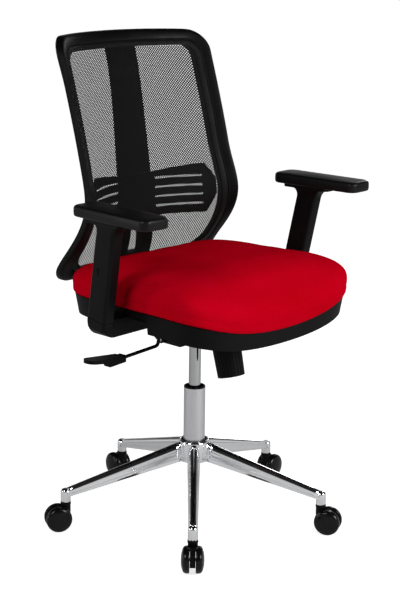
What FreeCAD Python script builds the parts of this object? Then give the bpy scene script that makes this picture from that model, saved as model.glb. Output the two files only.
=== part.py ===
"""Swivel office chair with a red cushion, a mesh back, T-armrests and a chromed five-star base.

Millimetres. +X is the sitter's left, -Y the front of the chair, +Z up.
The origin is on the floor, on the axis of the gas lift. The chair stands at its highest
setting, upright, with the armrests at their lowest and one leg of the base at base_turn.
"""
import FreeCAD, Part
import math
import os

os.makedirs("parts", exist_ok=True)
Vector = FreeCAD.Vector
UP = Vector(0, 0, 1)
ORIGIN = Vector(0, 0, 0)

# ---- clearances -------------------------------------------------------------------------
running_gap = 0.06          # radial, a shaft or pin in its bore
sliding_gap = 0.35          # between plastic parts that slide on each other
soft_gap = 0.3              # between upholstery and what it meets
seat_gap = 0.05             # between parts that are pressed or screwed together

# ---- five-star base ---------------------------------------------------------------------
leg_count = 5
base_turn = -46.0           # degrees, first leg, counted from the front towards the sitter's left
socket_circle_r = 308.0     # the casters stand on this circle
socket_r = 11.4
socket_bottom_z = 64.0
leg_tip_top_z = 100.0
leg_root_top_z = 186.0
leg_root_height = 44.0
leg_tip_height = 19.0
leg_root_width = 30.0
leg_tip_width = 21.0
leg_top_flat = 0.42         # width of the flat ridge on a leg, as a part of the leg's width
leg_wall = 2.0
hub_r = 36.0
hub_top_z = 191.0
hub_bottom_z = 141.0
hub_chamfer = 5.0
hub_recess_depth = 6.0
hub_recess_r = 33.0
hub_rib_count = 3           # cast ribs on the hub between two legs
hub_rib_width = 4.0

# ---- gas lift ---------------------------------------------------------------------------
lift_travel = 100.0
tube_r = 25.0
tube_wall = 2.0
tube_bottom_z = 139.0
tube_top_z = 318.0
tube_floor = 4.0
bushing_lip = 3.0
bushing_length = 60.0
bushing_mouth_r = 21.0
bushing_mouth_depth = 9.0
cylinder_r = 14.0
cylinder_wall = 2.0
cylinder_overlap = 60.0     # length of the cylinder left in the bushing at full height
cylinder_top_z = 468.0
cylinder_seal = 10.0
rod_r = 5.0
rod_head_height = 8.0
bearing_height = 6.0
clip_height = 2.5
clip_width = 4.0
rod_tail = 2.5
button_r = 4.0
button_rise = 9.0
button_depth = 14.0

# ---- casters ----------------------------------------------------------------------------
wheel_r = 30.0
wheel_width = 19.0
wheel_inner_gap = 13.5      # clear width between the two wheels of a caster
wheel_shoulder = 2.5
wheel_hub_r = 6.5
wheel_web_depth = 4.0
caster_trail = 18.0
axle_r = 4.0
stem_r = 5.5
stem_rise = 30.0
stem_depth = 12.0           # length of the stem inside the caster's body
collar_r = 11.0
collar_height = 3.8
hood_r = 27.0
hood_width = 12.5

# ---- tilt mechanism ---------------------------------------------------------------------
housing_half = 78.0
housing_rear_y = 60.0
housing_rear_bottom_z = 448.0
housing_flat_rear_y = 30.0
housing_flat_front_y = -28.0
housing_step_y = -42.0
housing_bottom_z = 433.0
housing_wall = 3.5
nose_half = 50.0
nose_front_y = -150.0
nose_root_z = 439.0
nose_tip_z = 450.0
housing_front_top_z = 492.0
housing_rear_top_z = 478.0
cone_r = 20.0
cone_top_z = 462.0
main_pivot_y = 27.0
main_pivot_z = 441.5
main_pin_r = 4.0
main_eye_r = 9.0
lug_wall = 3.0
lug_half = 8.0
front_pivot_y = -112.0
front_pivot_z = 480.0
front_pin_r = 5.0
flange_wall = 3.5
plate_half_x = 108.0
plate_front_y = -122.0
plate_rear_y = 96.0
plate_wall = 4.0
flange_half_length = 16.0

knob_y = -96.0
knob_tilt = 14.0            # degrees, the knob's foot leans forward
knob_r_top = 33.0
knob_r_bottom = 31.0
knob_length = 66.0
knob_flutes = 24
knob_flute_r = 1.6
cup_r = 25.0
cup_length = 17.0
knob_gap = 1.5
knob_foot_z = 369.0
screw_r = 5.0
spring_r = 15.0
spring_wire_r = 2.2
spring_turns = 4

lever_z = 474.0
lever_pivot_x = -58.0
lever_barrel_half = 15.0
lever_barrel_r = 7.0
lever_axle_r = 3.0
lever_rod_r = 4.0
lever_drop = 34.0
lever_slope = 8.0           # the rod falls by this much towards the handle
lever_bend_x = -121.0
lever_rod_end_x = -248.0
lever_bend_r = 9.0
grip_start_x = -226.0
grip_end_x = -276.0
grip_half = 11.0
grip_high = 17.0
handle_end_x = -337.0
handle_half = 17.0
handle_thick = 8.0
handle_rise = 18.0          # the blade's tip lies this much above the rod's end

# ---- seat -------------------------------------------------------------------------------
seat_half = 260.0
seat_centre_y = -130.0      # the seat is widest here
seat_front = 141.0          # from there to its front edge
seat_rear = 308.0
corner_front = 4.8          # powers of the outline: 2 is an ellipse, more is squarer
corner_rear = 6.9
seam_z = 556.5              # top edge of the shell at the sides and the rear
seam_drop = 46.5            # how far that edge falls at the middle of the front
shell_bottom_z = 511.0
shell_bottom_drop = 43.0
fall_start_y = -123.0       # in front of this line the seat's edge falls
side_hold = 0.86            # the part of the fall that the sides are spared
shell_wall = 3.0
shell_draft = 14.0          # the shell is this much narrower at its foot
board_wall = 10.0
board_below_seam = 3.0
board_inset = 3.0           # the board's edge stays this far inside the shell's wall
arch_front_y = -104.0       # the way in for an arm bracket, in the side of the shell
arch_rear_y = 52.0
arch_inner_x = 112.0
cushion_bulge = 4.5
cushion_side = 54.0         # height of the cushion's side over the seam
cushion_shoulder = 18.0     # how far the side has turned in where the crown starts
cushion_crown = 72.0        # height of the middle over the seam
cushion_crown_drop = 58.0   # how far the crown falls at the front
cushion_front_lift = 10.0   # the front half is filled higher than the rear
lift_rear_y = 120.0
lift_front_y = -160.0
dome_power = 2.2            # how late the cushion's top turns down towards its sides
around_seat = 60.0          # the sheets that cut the seat reach this far past it
far_below = 300.0

# ---- armrests ---------------------------------------------------------------------------
arm_travel = 70.0
post_foot = Vector(313, -22, 540)
post_forward = 11.0         # degrees
post_outward = 2.4          # degrees
post_wide = 31.0            # across the chair
post_deep = 55.0            # fore and aft
post_chamfer = 6.0
post_wall = 2.6
blade_length = 150.0
plate_top_z = 762.0
arm_plate_wall = 7.0
arm_plate_wide = 58.0
arm_plate_long = 128.0
neck_height = 20.0
neck_wide = 43.0
neck_deep = 96.0
arm_toe = 3.0               # degrees, the pads point outwards at the front
pad_wide = 74.0
pad_long = 237.0
pad_thick = 25.0
pad_forward = 30.0          # the pad's middle lies this far in front of the plate's
pad_corner_r = 18.0
pad_edge_r = 7.0
pad_travel = 25.0
tongue_wide = 18.0
tongue_long = 60.0
tongue_high = 5.0
elbow_bottom_z = 500.5
elbow_round = 34.0
foot_front_y = -94.0
foot_rear_y = 42.0
foot_inner_x = 122.0
foot_outer_x = 238.0
foot_wall = 10.0
latch_rise = 109.0
latch_offset = 11.0
latch_half_wide = 5.0
latch_half_high = 8.5
latch_travel = 2.0

# ---- back -------------------------------------------------------------------------------
frame_half_top = 231.0
frame_half_low = 242.5
frame_top_z = 1118.0
frame_top_arch = 9.0
frame_bottom_z = 575.0
frame_top_corner = 46.0
frame_low_corner = 56.0
frame_thick = 20.0
frame_top_band = 38.0
window_half_top = 196.5
window_half_low = 208.5
window_top_z = frame_top_z - frame_top_band
window_bottom_z = 599.0
waist_z = 860.0             # above this the sides of the frame are upright
mesh_thick = 1.2
mesh_depth = 1.5            # behind the front face of the frame
spine_half_top = 46.0
spine_half_low = 55.0
spine_thick = 18.0
spine_edge = 4.0            # thickness at the spine's edges
spine_bevel = 16.0          # its rear face is this much narrower on each side
spine_lap_half = 30.0
spine_lap_low = 12.0        # the pad behind the frame's top reaches this far below its inner edge
spine_lap_high = 28.0
spine_lap_depth = 9.0
slit_top_z = 842.0
slit_half_low = 17.0
spine_bottom_z = 546.0
mount_rear_y = 242.0
carrier_top_z = 597.0
carrier_wall = 14.0
carrier_half = 52.0
carrier_arm_wall = 5.5
carrier_rise_y = 78.0
carrier_bottom_z = 461.0
carrier_deep = 24.0
lumbar_thick = 3.5
lumbar_half = 189.0
lumbar_top_z = 805.0
lumbar_bottom_z = 688.0
lumbar_slots = 4
lumbar_slot_pitch = 22.0
lumbar_slot_high = 5.0
lumbar_slot_first_z = 710.0
lumbar_slot_inner_x = 57.0
lumbar_slot_outer_x = 166.0
bolt_r = 3.0
bolt_head_r = 6.0
bolt_head_high = 4.0


# ---- general shapes ---------------------------------------------------------------------
def block(x0, x1, y0, y1, z0, z1):
    """A box given by its limits on each axis."""
    return Part.makeBox(x1 - x0, y1 - y0, z1 - z0, Vector(x0, y0, z0))


def rod_between(radius, start, end):
    """A round bar from one point to another."""
    along = end - start
    return Part.makeCylinder(radius, along.Length, start, along)


def upright(radius, z0, z1, x=0.0, y=0.0):
    """A vertical cylinder."""
    return Part.makeCylinder(radius, z1 - z0, Vector(x, y, z0))


def across(radius, x0, x1, y, z):
    """A cylinder along X."""
    return Part.makeCylinder(radius, x1 - x0, Vector(x0, y, z), Vector(1, 0, 0))


def turned(profile):
    """A solid of revolution about Z from (radius, height) points."""
    points = [Vector(radius, 0, height) for radius, height in profile]
    face = Part.Face(Part.makePolygon(points + points[:1]))
    return face.revolve(ORIGIN, UP, 360)


def prism(points, along):
    """A flat polygon pushed along a vector."""
    return Part.Face(Part.makePolygon(points + points[:1])).extrude(along)


def side_profile(points, half_width):
    """A side view of (y, z) points, as wide as the chair part it bounds."""
    return prism([Vector(-half_width, y, z) for y, z in points], Vector(2 * half_width, 0, 0))


def joined(shapes):
    """One solid out of several that overlap."""
    whole = shapes[0]
    for shape in shapes[1:]:
        whole = whole.fuse(shape)
    return whole.removeSplitter()


def mirrored(shape):
    """The same part for the other side of the chair."""
    return shape.mirror(ORIGIN, Vector(1, 0, 0))


def turn(shape, axis, degrees, centre=ORIGIN):
    """A copy of a shape, turned about an axis through a point."""
    copy = shape.copy()
    copy.rotate(centre, axis, degrees)
    return copy


def move(shape, vector):
    """A copy of a shape, moved."""
    copy = shape.copy()
    copy.translate(vector)
    return copy


def smooth_line(pairs):
    """The natural cubic through (place, value) pairs, as a function of place."""
    places = [place for place, value in pairs]
    values = [value for place, value in pairs]
    count = len(pairs)
    steps = [places[i + 1] - places[i] for i in range(count - 1)]
    lower, right = [0.0] * count, [0.0] * count
    for i in range(1, count - 1):
        bend = 6 * ((values[i + 1] - values[i]) / steps[i] - (values[i] - values[i - 1]) / steps[i - 1])
        pivot = 2 * (steps[i - 1] + steps[i]) - steps[i - 1] * lower[i - 1]
        lower[i] = steps[i] / pivot
        right[i] = (bend - steps[i - 1] * right[i - 1]) / pivot
    curve = [0.0] * count
    for i in range(count - 2, 0, -1):
        curve[i] = right[i] - lower[i] * curve[i + 1]

    def value_at(place):
        i = 0
        while i < count - 2 and place > places[i + 1]:
            i += 1
        a = places[i + 1] - place
        b = place - places[i]
        bent = curve[i] * a**3 + curve[i + 1] * b**3
        straight = (values[i] - curve[i] * steps[i]**2 / 6) * a
        straight += (values[i + 1] - curve[i + 1] * steps[i]**2 / 6) * b
        return bent / (6 * steps[i]) + straight / steps[i]

    return value_at


def blend_step(place, start, end):
    """0 before start, 1 after end, and a smooth step between them."""
    share = min(1.0, max(0.0, (place - start) / (end - start)))
    return share * share * (3 - 2 * share)


# ---- base -------------------------------------------------------------------------------
def on_leg(shape, index):
    """A shape drawn on the leg that points along -Y, turned to the leg of that index."""
    return turn(shape, UP, base_turn + index * 360.0 / leg_count)


def leg_section(distance, top_z, width, height, inset):
    """The outline of a leg at one distance from the axis: a ridge with sloping sides."""
    foot = width / 2 - inset
    ridge = width * leg_top_flat / 2 - inset / 2
    low = top_z - height - (1 if inset else 0)
    points = [(-foot, low), (foot, low), (ridge, top_z - inset), (-ridge, top_z - inset)]
    corners = [Vector(x, -distance, z) for x, z in points]
    return Part.makePolygon(corners + corners[:1])


def leg_loft(inset):
    """A leg from inside the hub to the caster's socket."""
    slope = (leg_root_top_z - leg_tip_top_z) / (socket_circle_r - hub_r)
    start = hub_r - 6.0
    root = leg_section(start, leg_root_top_z + slope * (hub_r - start), leg_root_width, leg_root_height,
                       inset)
    tip = leg_section(socket_circle_r, leg_tip_top_z, leg_tip_width, leg_tip_height, inset)
    return Part.makeLoft([root, tip], True, True)


def base_star():
    """Chromed hub with five hollow legs, open underneath, and a socket at each tip."""
    hub = turned([
        (tube_r + seat_gap, hub_bottom_z), (hub_r, hub_bottom_z), (hub_r, hub_top_z - hub_chamfer),
        (hub_r - hub_chamfer / 2, hub_top_z), (hub_recess_r - hub_chamfer / 2, hub_top_z),
        (tube_r + hub_chamfer / 2, hub_top_z - hub_recess_depth), (tube_r + seat_gap,
                                                                   hub_top_z - hub_recess_depth)])
    solids, hollows, bores = [hub], [], []
    for index in range(leg_count):
        socket = upright(socket_r, socket_bottom_z, leg_tip_top_z - leg_wall, 0, -socket_circle_r)
        solids.append(on_leg(leg_loft(0.0), index))
        solids.append(on_leg(socket, index))
        hollows.append(on_leg(leg_loft(leg_wall), index))
        bore = upright(stem_r + seat_gap, socket_bottom_z - 1, socket_bottom_z + stem_rise, 0,
                       -socket_circle_r)
        bores.append(on_leg(bore, index))
        for rib in range(hub_rib_count):
            spread = 360.0 / leg_count * (rib + 1) / (hub_rib_count + 1)
            fin = block(-hub_rib_width / 2, hub_rib_width / 2, -hub_r - 1.5, -hub_r + 4, hub_bottom_z,
                        hub_top_z - 12)
            solids.append(turn(on_leg(fin, index), UP, spread))
    star = joined(solids)
    hollow = joined(hollows).cut(upright(hub_r - 3, 0, frame_top_z))
    for index in range(leg_count):
        hollow = hollow.cut(on_leg(upright(socket_r, 0, frame_top_z, 0, -socket_circle_r), index))
    star = star.cut(hollow).cut(upright(tube_r + seat_gap, 0, frame_top_z))
    for bore in bores:
        star = star.cut(bore)
    return star


def hub_collar():
    """Black plastic ring that fills the recess between the hub and the tube."""
    floor = hub_top_z - hub_recess_depth
    return turned([
        (tube_r + seat_gap, floor + seat_gap), (tube_r + hub_chamfer / 2, floor + seat_gap),
        (hub_recess_r - hub_chamfer / 2 - 0.6, hub_top_z - 0.8), (tube_r + seat_gap, hub_top_z - 0.8)])


# ---- gas lift ---------------------------------------------------------------------------
def column_tube():
    """Outer tube of the gas lift, with a floor that the rod passes through."""
    inner = tube_r - tube_wall
    return turned([
        (rod_r + running_gap, tube_bottom_z), (tube_r, tube_bottom_z), (tube_r, tube_top_z), (inner,
                                                                                              tube_top_z),
        (inner, tube_bottom_z + tube_floor), (rod_r + running_gap, tube_bottom_z + tube_floor)])


def column_bushing():
    """Plastic guide in the mouth of the tube, with a lip over the tube's rim."""
    bore = cylinder_r + running_gap
    top = tube_top_z + bushing_lip
    return turned([
        (bore, tube_top_z - bushing_length), (tube_r - tube_wall - seat_gap, tube_top_z - bushing_length),
        (tube_r - tube_wall - seat_gap, tube_top_z + seat_gap), (tube_r, tube_top_z + seat_gap),
        (tube_r, top - 1), (tube_r - 1, top), (bushing_mouth_r, top), (bushing_mouth_r - 1,
                                                                       top - bushing_mouth_depth),
        (bore, top - bushing_mouth_depth)])


def gas_cylinder():
    """Chromed pressure cylinder: slides in the bushing and carries the mechanism."""
    bottom = tube_top_z - cylinder_overlap
    inner = cylinder_r - cylinder_wall
    return turned([
        (rod_r + running_gap, bottom), (cylinder_r - 1, bottom), (cylinder_r, bottom + 1),
        (cylinder_r, cylinder_top_z - 1), (cylinder_r - 1, cylinder_top_z), (button_r + running_gap,
                                                                             cylinder_top_z),
        (button_r + running_gap, cylinder_top_z - cylinder_seal), (inner, cylinder_top_z - cylinder_seal),
        (inner, bottom + cylinder_seal), (rod_r + running_gap, bottom + cylinder_seal)])


def piston_rod():
    """Rod that turns in the floor of the tube, with the piston on its upper end."""
    foot = tube_bottom_z - clip_height - rod_tail
    head = tube_top_z - cylinder_overlap + cylinder_seal + 4
    piston_r = cylinder_r - cylinder_wall - running_gap
    return turned([
        (0, foot), (rod_r - 1, foot), (rod_r, foot + 1), (rod_r, head), (piston_r, head),
        (piston_r, head + rod_head_height), (0, head + rod_head_height)])


def thrust_bearing():
    """Ball bearing washer on the floor of the tube; the cylinder's rod turns in it."""
    floor = tube_bottom_z + tube_floor
    return turned([
        (rod_r + running_gap, floor + seat_gap), (cylinder_r, floor + seat_gap),
        (cylinder_r, floor + bearing_height), (rod_r + running_gap, floor + bearing_height)])


def rod_clip():
    """Spring clip under the floor of the tube that keeps the rod in."""
    top = tube_bottom_z - 0.3
    return turned([
        (rod_r + seat_gap, top - clip_height), (rod_r + clip_width, top - clip_height),
        (rod_r + clip_width, top), (rod_r + seat_gap, top)])


def release_button():
    """Pin on top of the cylinder that opens the gas valve."""
    return turned([
        (0, cylinder_top_z - button_depth + cylinder_seal - 4),
        (button_r, cylinder_top_z - button_depth + cylinder_seal - 4),
        (button_r, cylinder_top_z + button_rise - 1), (button_r - 1, cylinder_top_z + button_rise),
        (0, cylinder_top_z + button_rise)])


# ---- casters ----------------------------------------------------------------------------
def caster_place(shape, index):
    """A shape drawn under the tip of the leg along -Y, turned to its leg."""
    return on_leg(move(shape, Vector(0, -socket_circle_r, 0)), index)


def caster_hood():
    """Black body between the wheels: collar under the socket, and a cover over the axle."""
    disc = Part.makeCylinder(hood_r, hood_width, Vector(-hood_width / 2, -caster_trail, wheel_r),
                             Vector(1, 0, 0))
    low = block(-hood_width, hood_width, -caster_trail - 2 * hood_r, hood_r, -1, wheel_r - 9)
    collar = upright(collar_r, socket_bottom_z - collar_height, socket_bottom_z - 0.5)
    neck = block(-hood_width / 2, hood_width / 2, -collar_r, collar_r, wheel_r,
                 socket_bottom_z - collar_height + 1)
    neck = neck.common(upright(collar_r, 0, socket_bottom_z))
    body = joined([disc.cut(low), collar, neck])
    body = body.cut(across(axle_r + seat_gap, -hood_width, hood_width, -caster_trail, wheel_r))
    return body.cut(upright(stem_r + seat_gap, socket_bottom_z - collar_height - stem_depth,
                            socket_bottom_z))


def caster_steel():
    """Steel stem pressed in the socket's sleeve, and the axle of the two wheels."""
    foot = socket_bottom_z - collar_height - stem_depth
    top = socket_bottom_z + stem_rise - 1
    stem = turned([(0, foot), (stem_r, foot), (stem_r, top - 2), (stem_r - 2, top), (0, top)])
    reach = wheel_inner_gap / 2 + wheel_width - wheel_web_depth - 2
    return [stem, across(axle_r, -reach, reach, -caster_trail, wheel_r)]


def caster_wheel(side):
    """One wheel of the pair: a rounded tread, a domed face and a hollow back."""
    inner = wheel_inner_gap / 2
    outer = inner + wheel_width
    bore = axle_r + running_gap
    face = outer - wheel_web_depth
    profile = [
        (bore, inner), (wheel_hub_r, inner), (wheel_hub_r, face - 3), (wheel_r - 5,
                                                                       face - 3), (wheel_r - 5, inner),
        (wheel_r - 1, inner), (wheel_r, inner + 1), (wheel_r, outer - wheel_shoulder - 2),
        (wheel_r - wheel_shoulder, outer - 1), (wheel_r - wheel_shoulder - 1, outer), (0, outer),
        (0, face), (bore, face)]
    points = [Vector(side * x, -caster_trail, wheel_r + radius) for radius, x in profile]
    wheel = Part.Face(Part.makePolygon(points + points[:1]))
    return wheel.revolve(Vector(0, -caster_trail, wheel_r), Vector(1, 0, 0), 360)


# ---- tilt mechanism ---------------------------------------------------------------------
def housing_side(inset):
    """Side view of the mechanism's housing."""
    return [
        (housing_rear_y - inset, housing_rear_bottom_z + inset), (housing_flat_rear_y,
                                                                  housing_bottom_z + inset),
        (housing_flat_front_y, housing_bottom_z + inset), (housing_step_y, nose_root_z + inset),
        (nose_front_y + inset, nose_tip_z + inset), (nose_front_y + inset, housing_front_top_z + inset),
        (housing_step_y, housing_front_top_z + inset), (housing_rear_y - inset, housing_rear_top_z + inset)]


def knob_axis_point(height_z):
    """The point of the tension knob's axis at a height."""
    rise = height_z - (nose_root_z + nose_tip_z) / 2
    return Vector(0, knob_y + rise * math.tan(math.radians(knob_tilt)), height_z)


def along_knob(distance):
    """The point of the tension knob's axis that far above the knob's foot."""
    foot = knob_axis_point(knob_foot_z)
    lean = math.radians(knob_tilt)
    return foot + Vector(0, math.sin(lean), math.cos(lean)) * distance


def mechanism_housing():
    """Pressed-steel tray on the gas lift's cone, with a narrower nose for the tension spring."""
    wide = side_profile(housing_side(0.0), housing_half).common(
        block(-housing_half, housing_half, housing_step_y, housing_rear_y, 0, frame_top_z))
    nose = side_profile(housing_side(0.0), nose_half)
    wide_inside = side_profile(housing_side(housing_wall), housing_half - housing_wall).common(
        block(-housing_half, housing_half, housing_step_y + housing_wall, housing_rear_y, 0, frame_top_z))
    nose_inside = side_profile(housing_side(housing_wall), nose_half - housing_wall)
    cone = upright(cone_r, housing_bottom_z - 3, cone_top_z)
    cup = rod_between(cup_r, along_knob(knob_length + knob_gap),
                      along_knob(knob_length + knob_gap + cup_length))
    body = joined([wide, nose, cup]).cut(joined([wide_inside, nose_inside]))
    lugs = []
    for side in (-1, 1):
        y0, y1 = sorted((side * (lever_barrel_half + 0.5), side * (lever_barrel_half + 0.5 + lug_wall)))
        lugs.append(block(lever_pivot_x - lug_half, lever_pivot_x + lug_half, y0, y1,
                          housing_bottom_z + 1, lever_z + lug_half))
    spring_seat = rod_between(spring_r + 3, along_knob(knob_length + knob_gap + cup_length / 2),
                              along_knob(knob_length + knob_gap + cup_length))
    body = joined([body, cone, spring_seat] + lugs).cut(upright(cylinder_r + running_gap, 0, frame_top_z))
    lever_axle = Part.makeCylinder(lever_axle_r + running_gap, 80, Vector(lever_pivot_x, -40, lever_z),
                                   Vector(0, 1, 0))
    body = body.cut(lever_axle)
    body = body.cut(rod_between(screw_r + running_gap, along_knob(0), along_knob(knob_length + 60)))
    body = body.cut(across(main_pin_r + running_gap, -2 * housing_half, 2 * housing_half, main_pivot_y,
                           main_pivot_z))
    body = body.cut(across(front_pin_r + running_gap, -2 * housing_half, 2 * housing_half,
                           front_pivot_y, front_pivot_z))
    slot_high = lever_rod_r + 4
    slot = block(-housing_half - 1, -housing_half + housing_wall + 1, -lever_rod_r - 1, lever_rod_r + 1,
                 lever_z - slot_high, lever_z + slot_high)
    return body.cut(slot)


def pivot_pins():
    """The two chromed pins of the back carrier, and the long pin of the seat plate."""
    reach = housing_half + 1.0 + carrier_arm_wall + 2.5
    main = [across(main_pin_r, *sorted((side * (housing_half - 24), side * reach)), main_pivot_y,
                   main_pivot_z)
            for side in (-1, 1)]
    front = across(front_pin_r, -nose_half - 6, nose_half + 6, front_pivot_y, front_pivot_z)
    return main, front


def seat_plate():
    """Steel plate under the seat shell with two flanges for the front pin."""
    top = shell_bottom_z
    plate = block(-plate_half_x, plate_half_x, plate_front_y, plate_rear_y, top - plate_wall, top)
    shapes = [plate]
    for side in (-1, 1):
        inner = side * (nose_half + 0.5)
        outer = side * (nose_half + 0.5 + flange_wall)
        x0, x1 = min(inner, outer), max(inner, outer)
        shapes.append(block(x0, x1, front_pivot_y - flange_half_length, front_pivot_y + flange_half_length,
                            front_pivot_z, top - 1))
        shapes.append(across(flange_half_length, x0, x1, front_pivot_y, front_pivot_z))
    plate = joined(shapes)
    plate = plate.cut(across(front_pin_r + running_gap, -plate_half_x, plate_half_x, front_pivot_y,
                             front_pivot_z))
    for x, y in seat_bolt_places():
        plate = plate.cut(upright(bolt_r + seat_gap, 0, frame_top_z, x, y))
    return plate


def seat_bolt_places():
    """Where the four bolts join the plate, the shell and the board."""
    return [(x, y) for x in (-plate_half_x + 14, plate_half_x - 14) for y in (plate_front_y + 16,
                                                                              plate_rear_y - 16)]


def bolt(x, y, head_z, reach):
    """A screw put in from below: head, then shank upwards."""
    shank = upright(bolt_r, head_z - 1, head_z + reach, x, y)
    head = upright(bolt_head_r, head_z - bolt_head_high, head_z - 0.0, x, y)
    return joined([head, shank])


def seat_bolts():
    """The four screws through the plate and the shell."""
    reach = board_bottom_z() + board_wall - 3 - (shell_bottom_z - plate_wall)
    return [bolt(x, y, shell_bottom_z - plate_wall, reach) for x, y in seat_bolt_places()]


def tension_knob():
    """Long fluted knob under the nose of the housing."""
    knob = Part.makeCone(knob_r_bottom, knob_r_top, knob_length)
    for flute in range(knob_flutes):
        angle = math.radians(flute * 360.0 / knob_flutes)
        foot = Vector(math.cos(angle), math.sin(angle), 0) * (knob_r_bottom + knob_flute_r * 0.35)
        head = Vector(math.cos(angle), math.sin(angle), 0) * (knob_r_top + knob_flute_r * 0.35)
        knob = knob.cut(rod_between(knob_flute_r, foot + UP * 4, head + UP * (knob_length + 1)))
    cap = Part.makeCylinder(knob_r_bottom * 0.55, 2.5, Vector(0, 0, -1.5))
    bore = Part.makeCylinder(screw_r + seat_gap, knob_length, Vector(0, 0, knob_length * 0.5))
    knob = joined([knob, cap]).cut(bore)
    return move(turn(knob, Vector(1, 0, 0), -knob_tilt), along_knob(0))


def tension_screw():
    """Threaded spindle turned by the knob."""
    return rod_between(screw_r, along_knob(knob_length * 0.5 + 1), along_knob(knob_length + 46))


def tension_spring():
    """Coil around the spindle inside the nose."""
    pitch = spring_wire_r * 2 + 1.6
    helix = Part.makeHelix(pitch, pitch * spring_turns, spring_r)
    ring = Part.Wire(Part.makeCircle(spring_wire_r, Vector(spring_r, 0, 0), Vector(0, 1, 0)))
    coil = Part.Wire(helix).makePipeShell([ring], True, True)
    start = knob_length + knob_gap + cup_length + spring_wire_r + soft_gap
    return move(turn(coil, Vector(1, 0, 0), -knob_tilt), along_knob(start))


def lever_block():
    """Pivot block of the lever: a barrel across the housing with a finger over the valve pin."""
    ahead = Vector(0, 1, 0)
    barrel = Part.makeCylinder(lever_barrel_r, 2 * lever_barrel_half,
                               Vector(lever_pivot_x, -lever_barrel_half, lever_z), ahead)
    axle_half = lever_barrel_half + 0.5 + lug_wall
    axle = Part.makeCylinder(lever_axle_r, 2 * axle_half, Vector(lever_pivot_x, -axle_half, lever_z), ahead)
    finger_bottom = cylinder_top_z + button_rise + 0.4
    finger = block(lever_pivot_x, 8, -5, 5, finger_bottom, finger_bottom + 4)
    link = block(lever_pivot_x - 4, lever_pivot_x + 6, -5, 5, lever_z, finger_bottom + 4)
    sleeve = across(lever_barrel_r, lever_pivot_x - 14, lever_pivot_x + 4, 0, lever_z)
    body = joined([barrel, axle, link, finger, sleeve])
    return body.cut(across(lever_rod_r + running_gap, lever_pivot_x - 20, lever_pivot_x + 2, 0, lever_z))


def bent_rod(points, radius, bend_r):
    """A round rod along straight runs joined by arcs."""
    edges = []
    start = points[0]
    for i in range(1, len(points) - 1):
        before = (points[i - 1] - points[i]).normalize()
        after = (points[i + 1] - points[i]).normalize()
        half = before.getAngle(after) / 2
        setback = bend_r / math.tan(half)
        into = points[i] + before * setback
        out = points[i] + after * setback
        middle_way = (before + after).normalize()
        centre = points[i] + middle_way * (bend_r / math.sin(half))
        edges.append(Part.makeLine(start, into))
        edges.append(Part.Arc(into, centre - middle_way * bend_r, out).toShape())
        start = out
    edges.append(Part.makeLine(start, points[-1]))
    path = Part.Wire(edges)
    ring = Part.Wire(Part.makeCircle(radius, points[0], points[1] - points[0]))
    return path.makePipeShell([ring], True, False)


def lever_rod():
    """Steel rod of the height lever, cranked down under the seat's edge."""
    low = lever_z - lever_drop
    points = [
        Vector(lever_pivot_x - 1, 0, lever_z), Vector(lever_bend_x + 8, 0, lever_z),
        Vector(lever_bend_x, 0, low), Vector(lever_rod_end_x, 0, low - lever_slope)]
    return bent_rod(points, lever_rod_r, lever_bend_r)


def lever_handle():
    """Black handle on the end of the rod: a square grip and a flat blade that rises outwards."""
    low = lever_z - lever_drop
    fall = lever_slope / (lever_bend_x - lever_rod_end_x)

    def rod_z(x):
        return low - fall * (lever_bend_x - x)

    grip = prism([
        Vector(grip_start_x, -grip_half, rod_z(grip_start_x) - grip_high / 2),
        Vector(grip_start_x, -grip_half, rod_z(grip_start_x) + grip_high / 2),
        Vector(grip_end_x, -grip_half, rod_z(grip_end_x) + grip_high / 2),
        Vector(grip_end_x, -grip_half, rod_z(grip_end_x) - grip_high / 2)], Vector(0, 2 * grip_half, 0))
    grip = grip.makeFillet(3.0, grip.Edges)
    tip_z = rod_z(lever_rod_end_x) + handle_rise
    root_z = rod_z(grip_start_x - handle_thick) + grip_high / 2 - 1
    blade = prism([
        Vector(grip_start_x - handle_thick, -handle_half, root_z), Vector(handle_end_x, -handle_half,
                                                                          tip_z),
        Vector(handle_end_x, -handle_half, tip_z - handle_thick),
        Vector(grip_end_x + handle_thick, -handle_half,
               root_z - handle_thick)], Vector(0, 2 * handle_half, 0))
    tip_corner = Part.makeCylinder(handle_half, 200, Vector(handle_end_x + handle_half, 0, low - 100))
    plan = joined([tip_corner, block(handle_end_x + handle_half, 0, -handle_half, handle_half,
                                     low - 100, low + 100)])
    handle = joined([grip, blade.common(plan)])
    start = Vector(lever_rod_end_x, 0, rod_z(lever_rod_end_x))
    out = Vector(grip_start_x + 5, 0, rod_z(grip_start_x + 5))
    return handle.cut(rod_between(lever_rod_r + seat_gap, start, out))


# ---- seat -------------------------------------------------------------------------------
def seat_point(offset, angle):
    """A point of the seat's plan, moved outwards by offset: squarer at the rear than in front."""
    side, ahead = math.cos(angle), math.sin(angle)
    power = corner_rear if ahead > 0 else corner_front
    reach = seat_rear if ahead > 0 else seat_front
    size = (abs(side)**power + abs(ahead)**power)**(-1 / power)
    return (seat_half + offset) * size * side, seat_centre_y + (reach + offset) * size * ahead


def seat_curve(offset, height_at, count=96):
    """Closed curve round the seat, at a height given as a function of x and y."""
    points = []
    for i in range(count):
        x, y = seat_point(offset, 2 * math.pi * i / count)
        points.append(Vector(x, y, height_at(x, y)))
    curve = Part.BSplineCurve()
    curve.interpolate(points, PeriodicFlag=True)
    return Part.Wire(curve.toShape())


def seat_outline(offset, z):
    """Closed curve of the seat's plan at one height."""
    return seat_curve(offset, lambda x, y: z)


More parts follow.
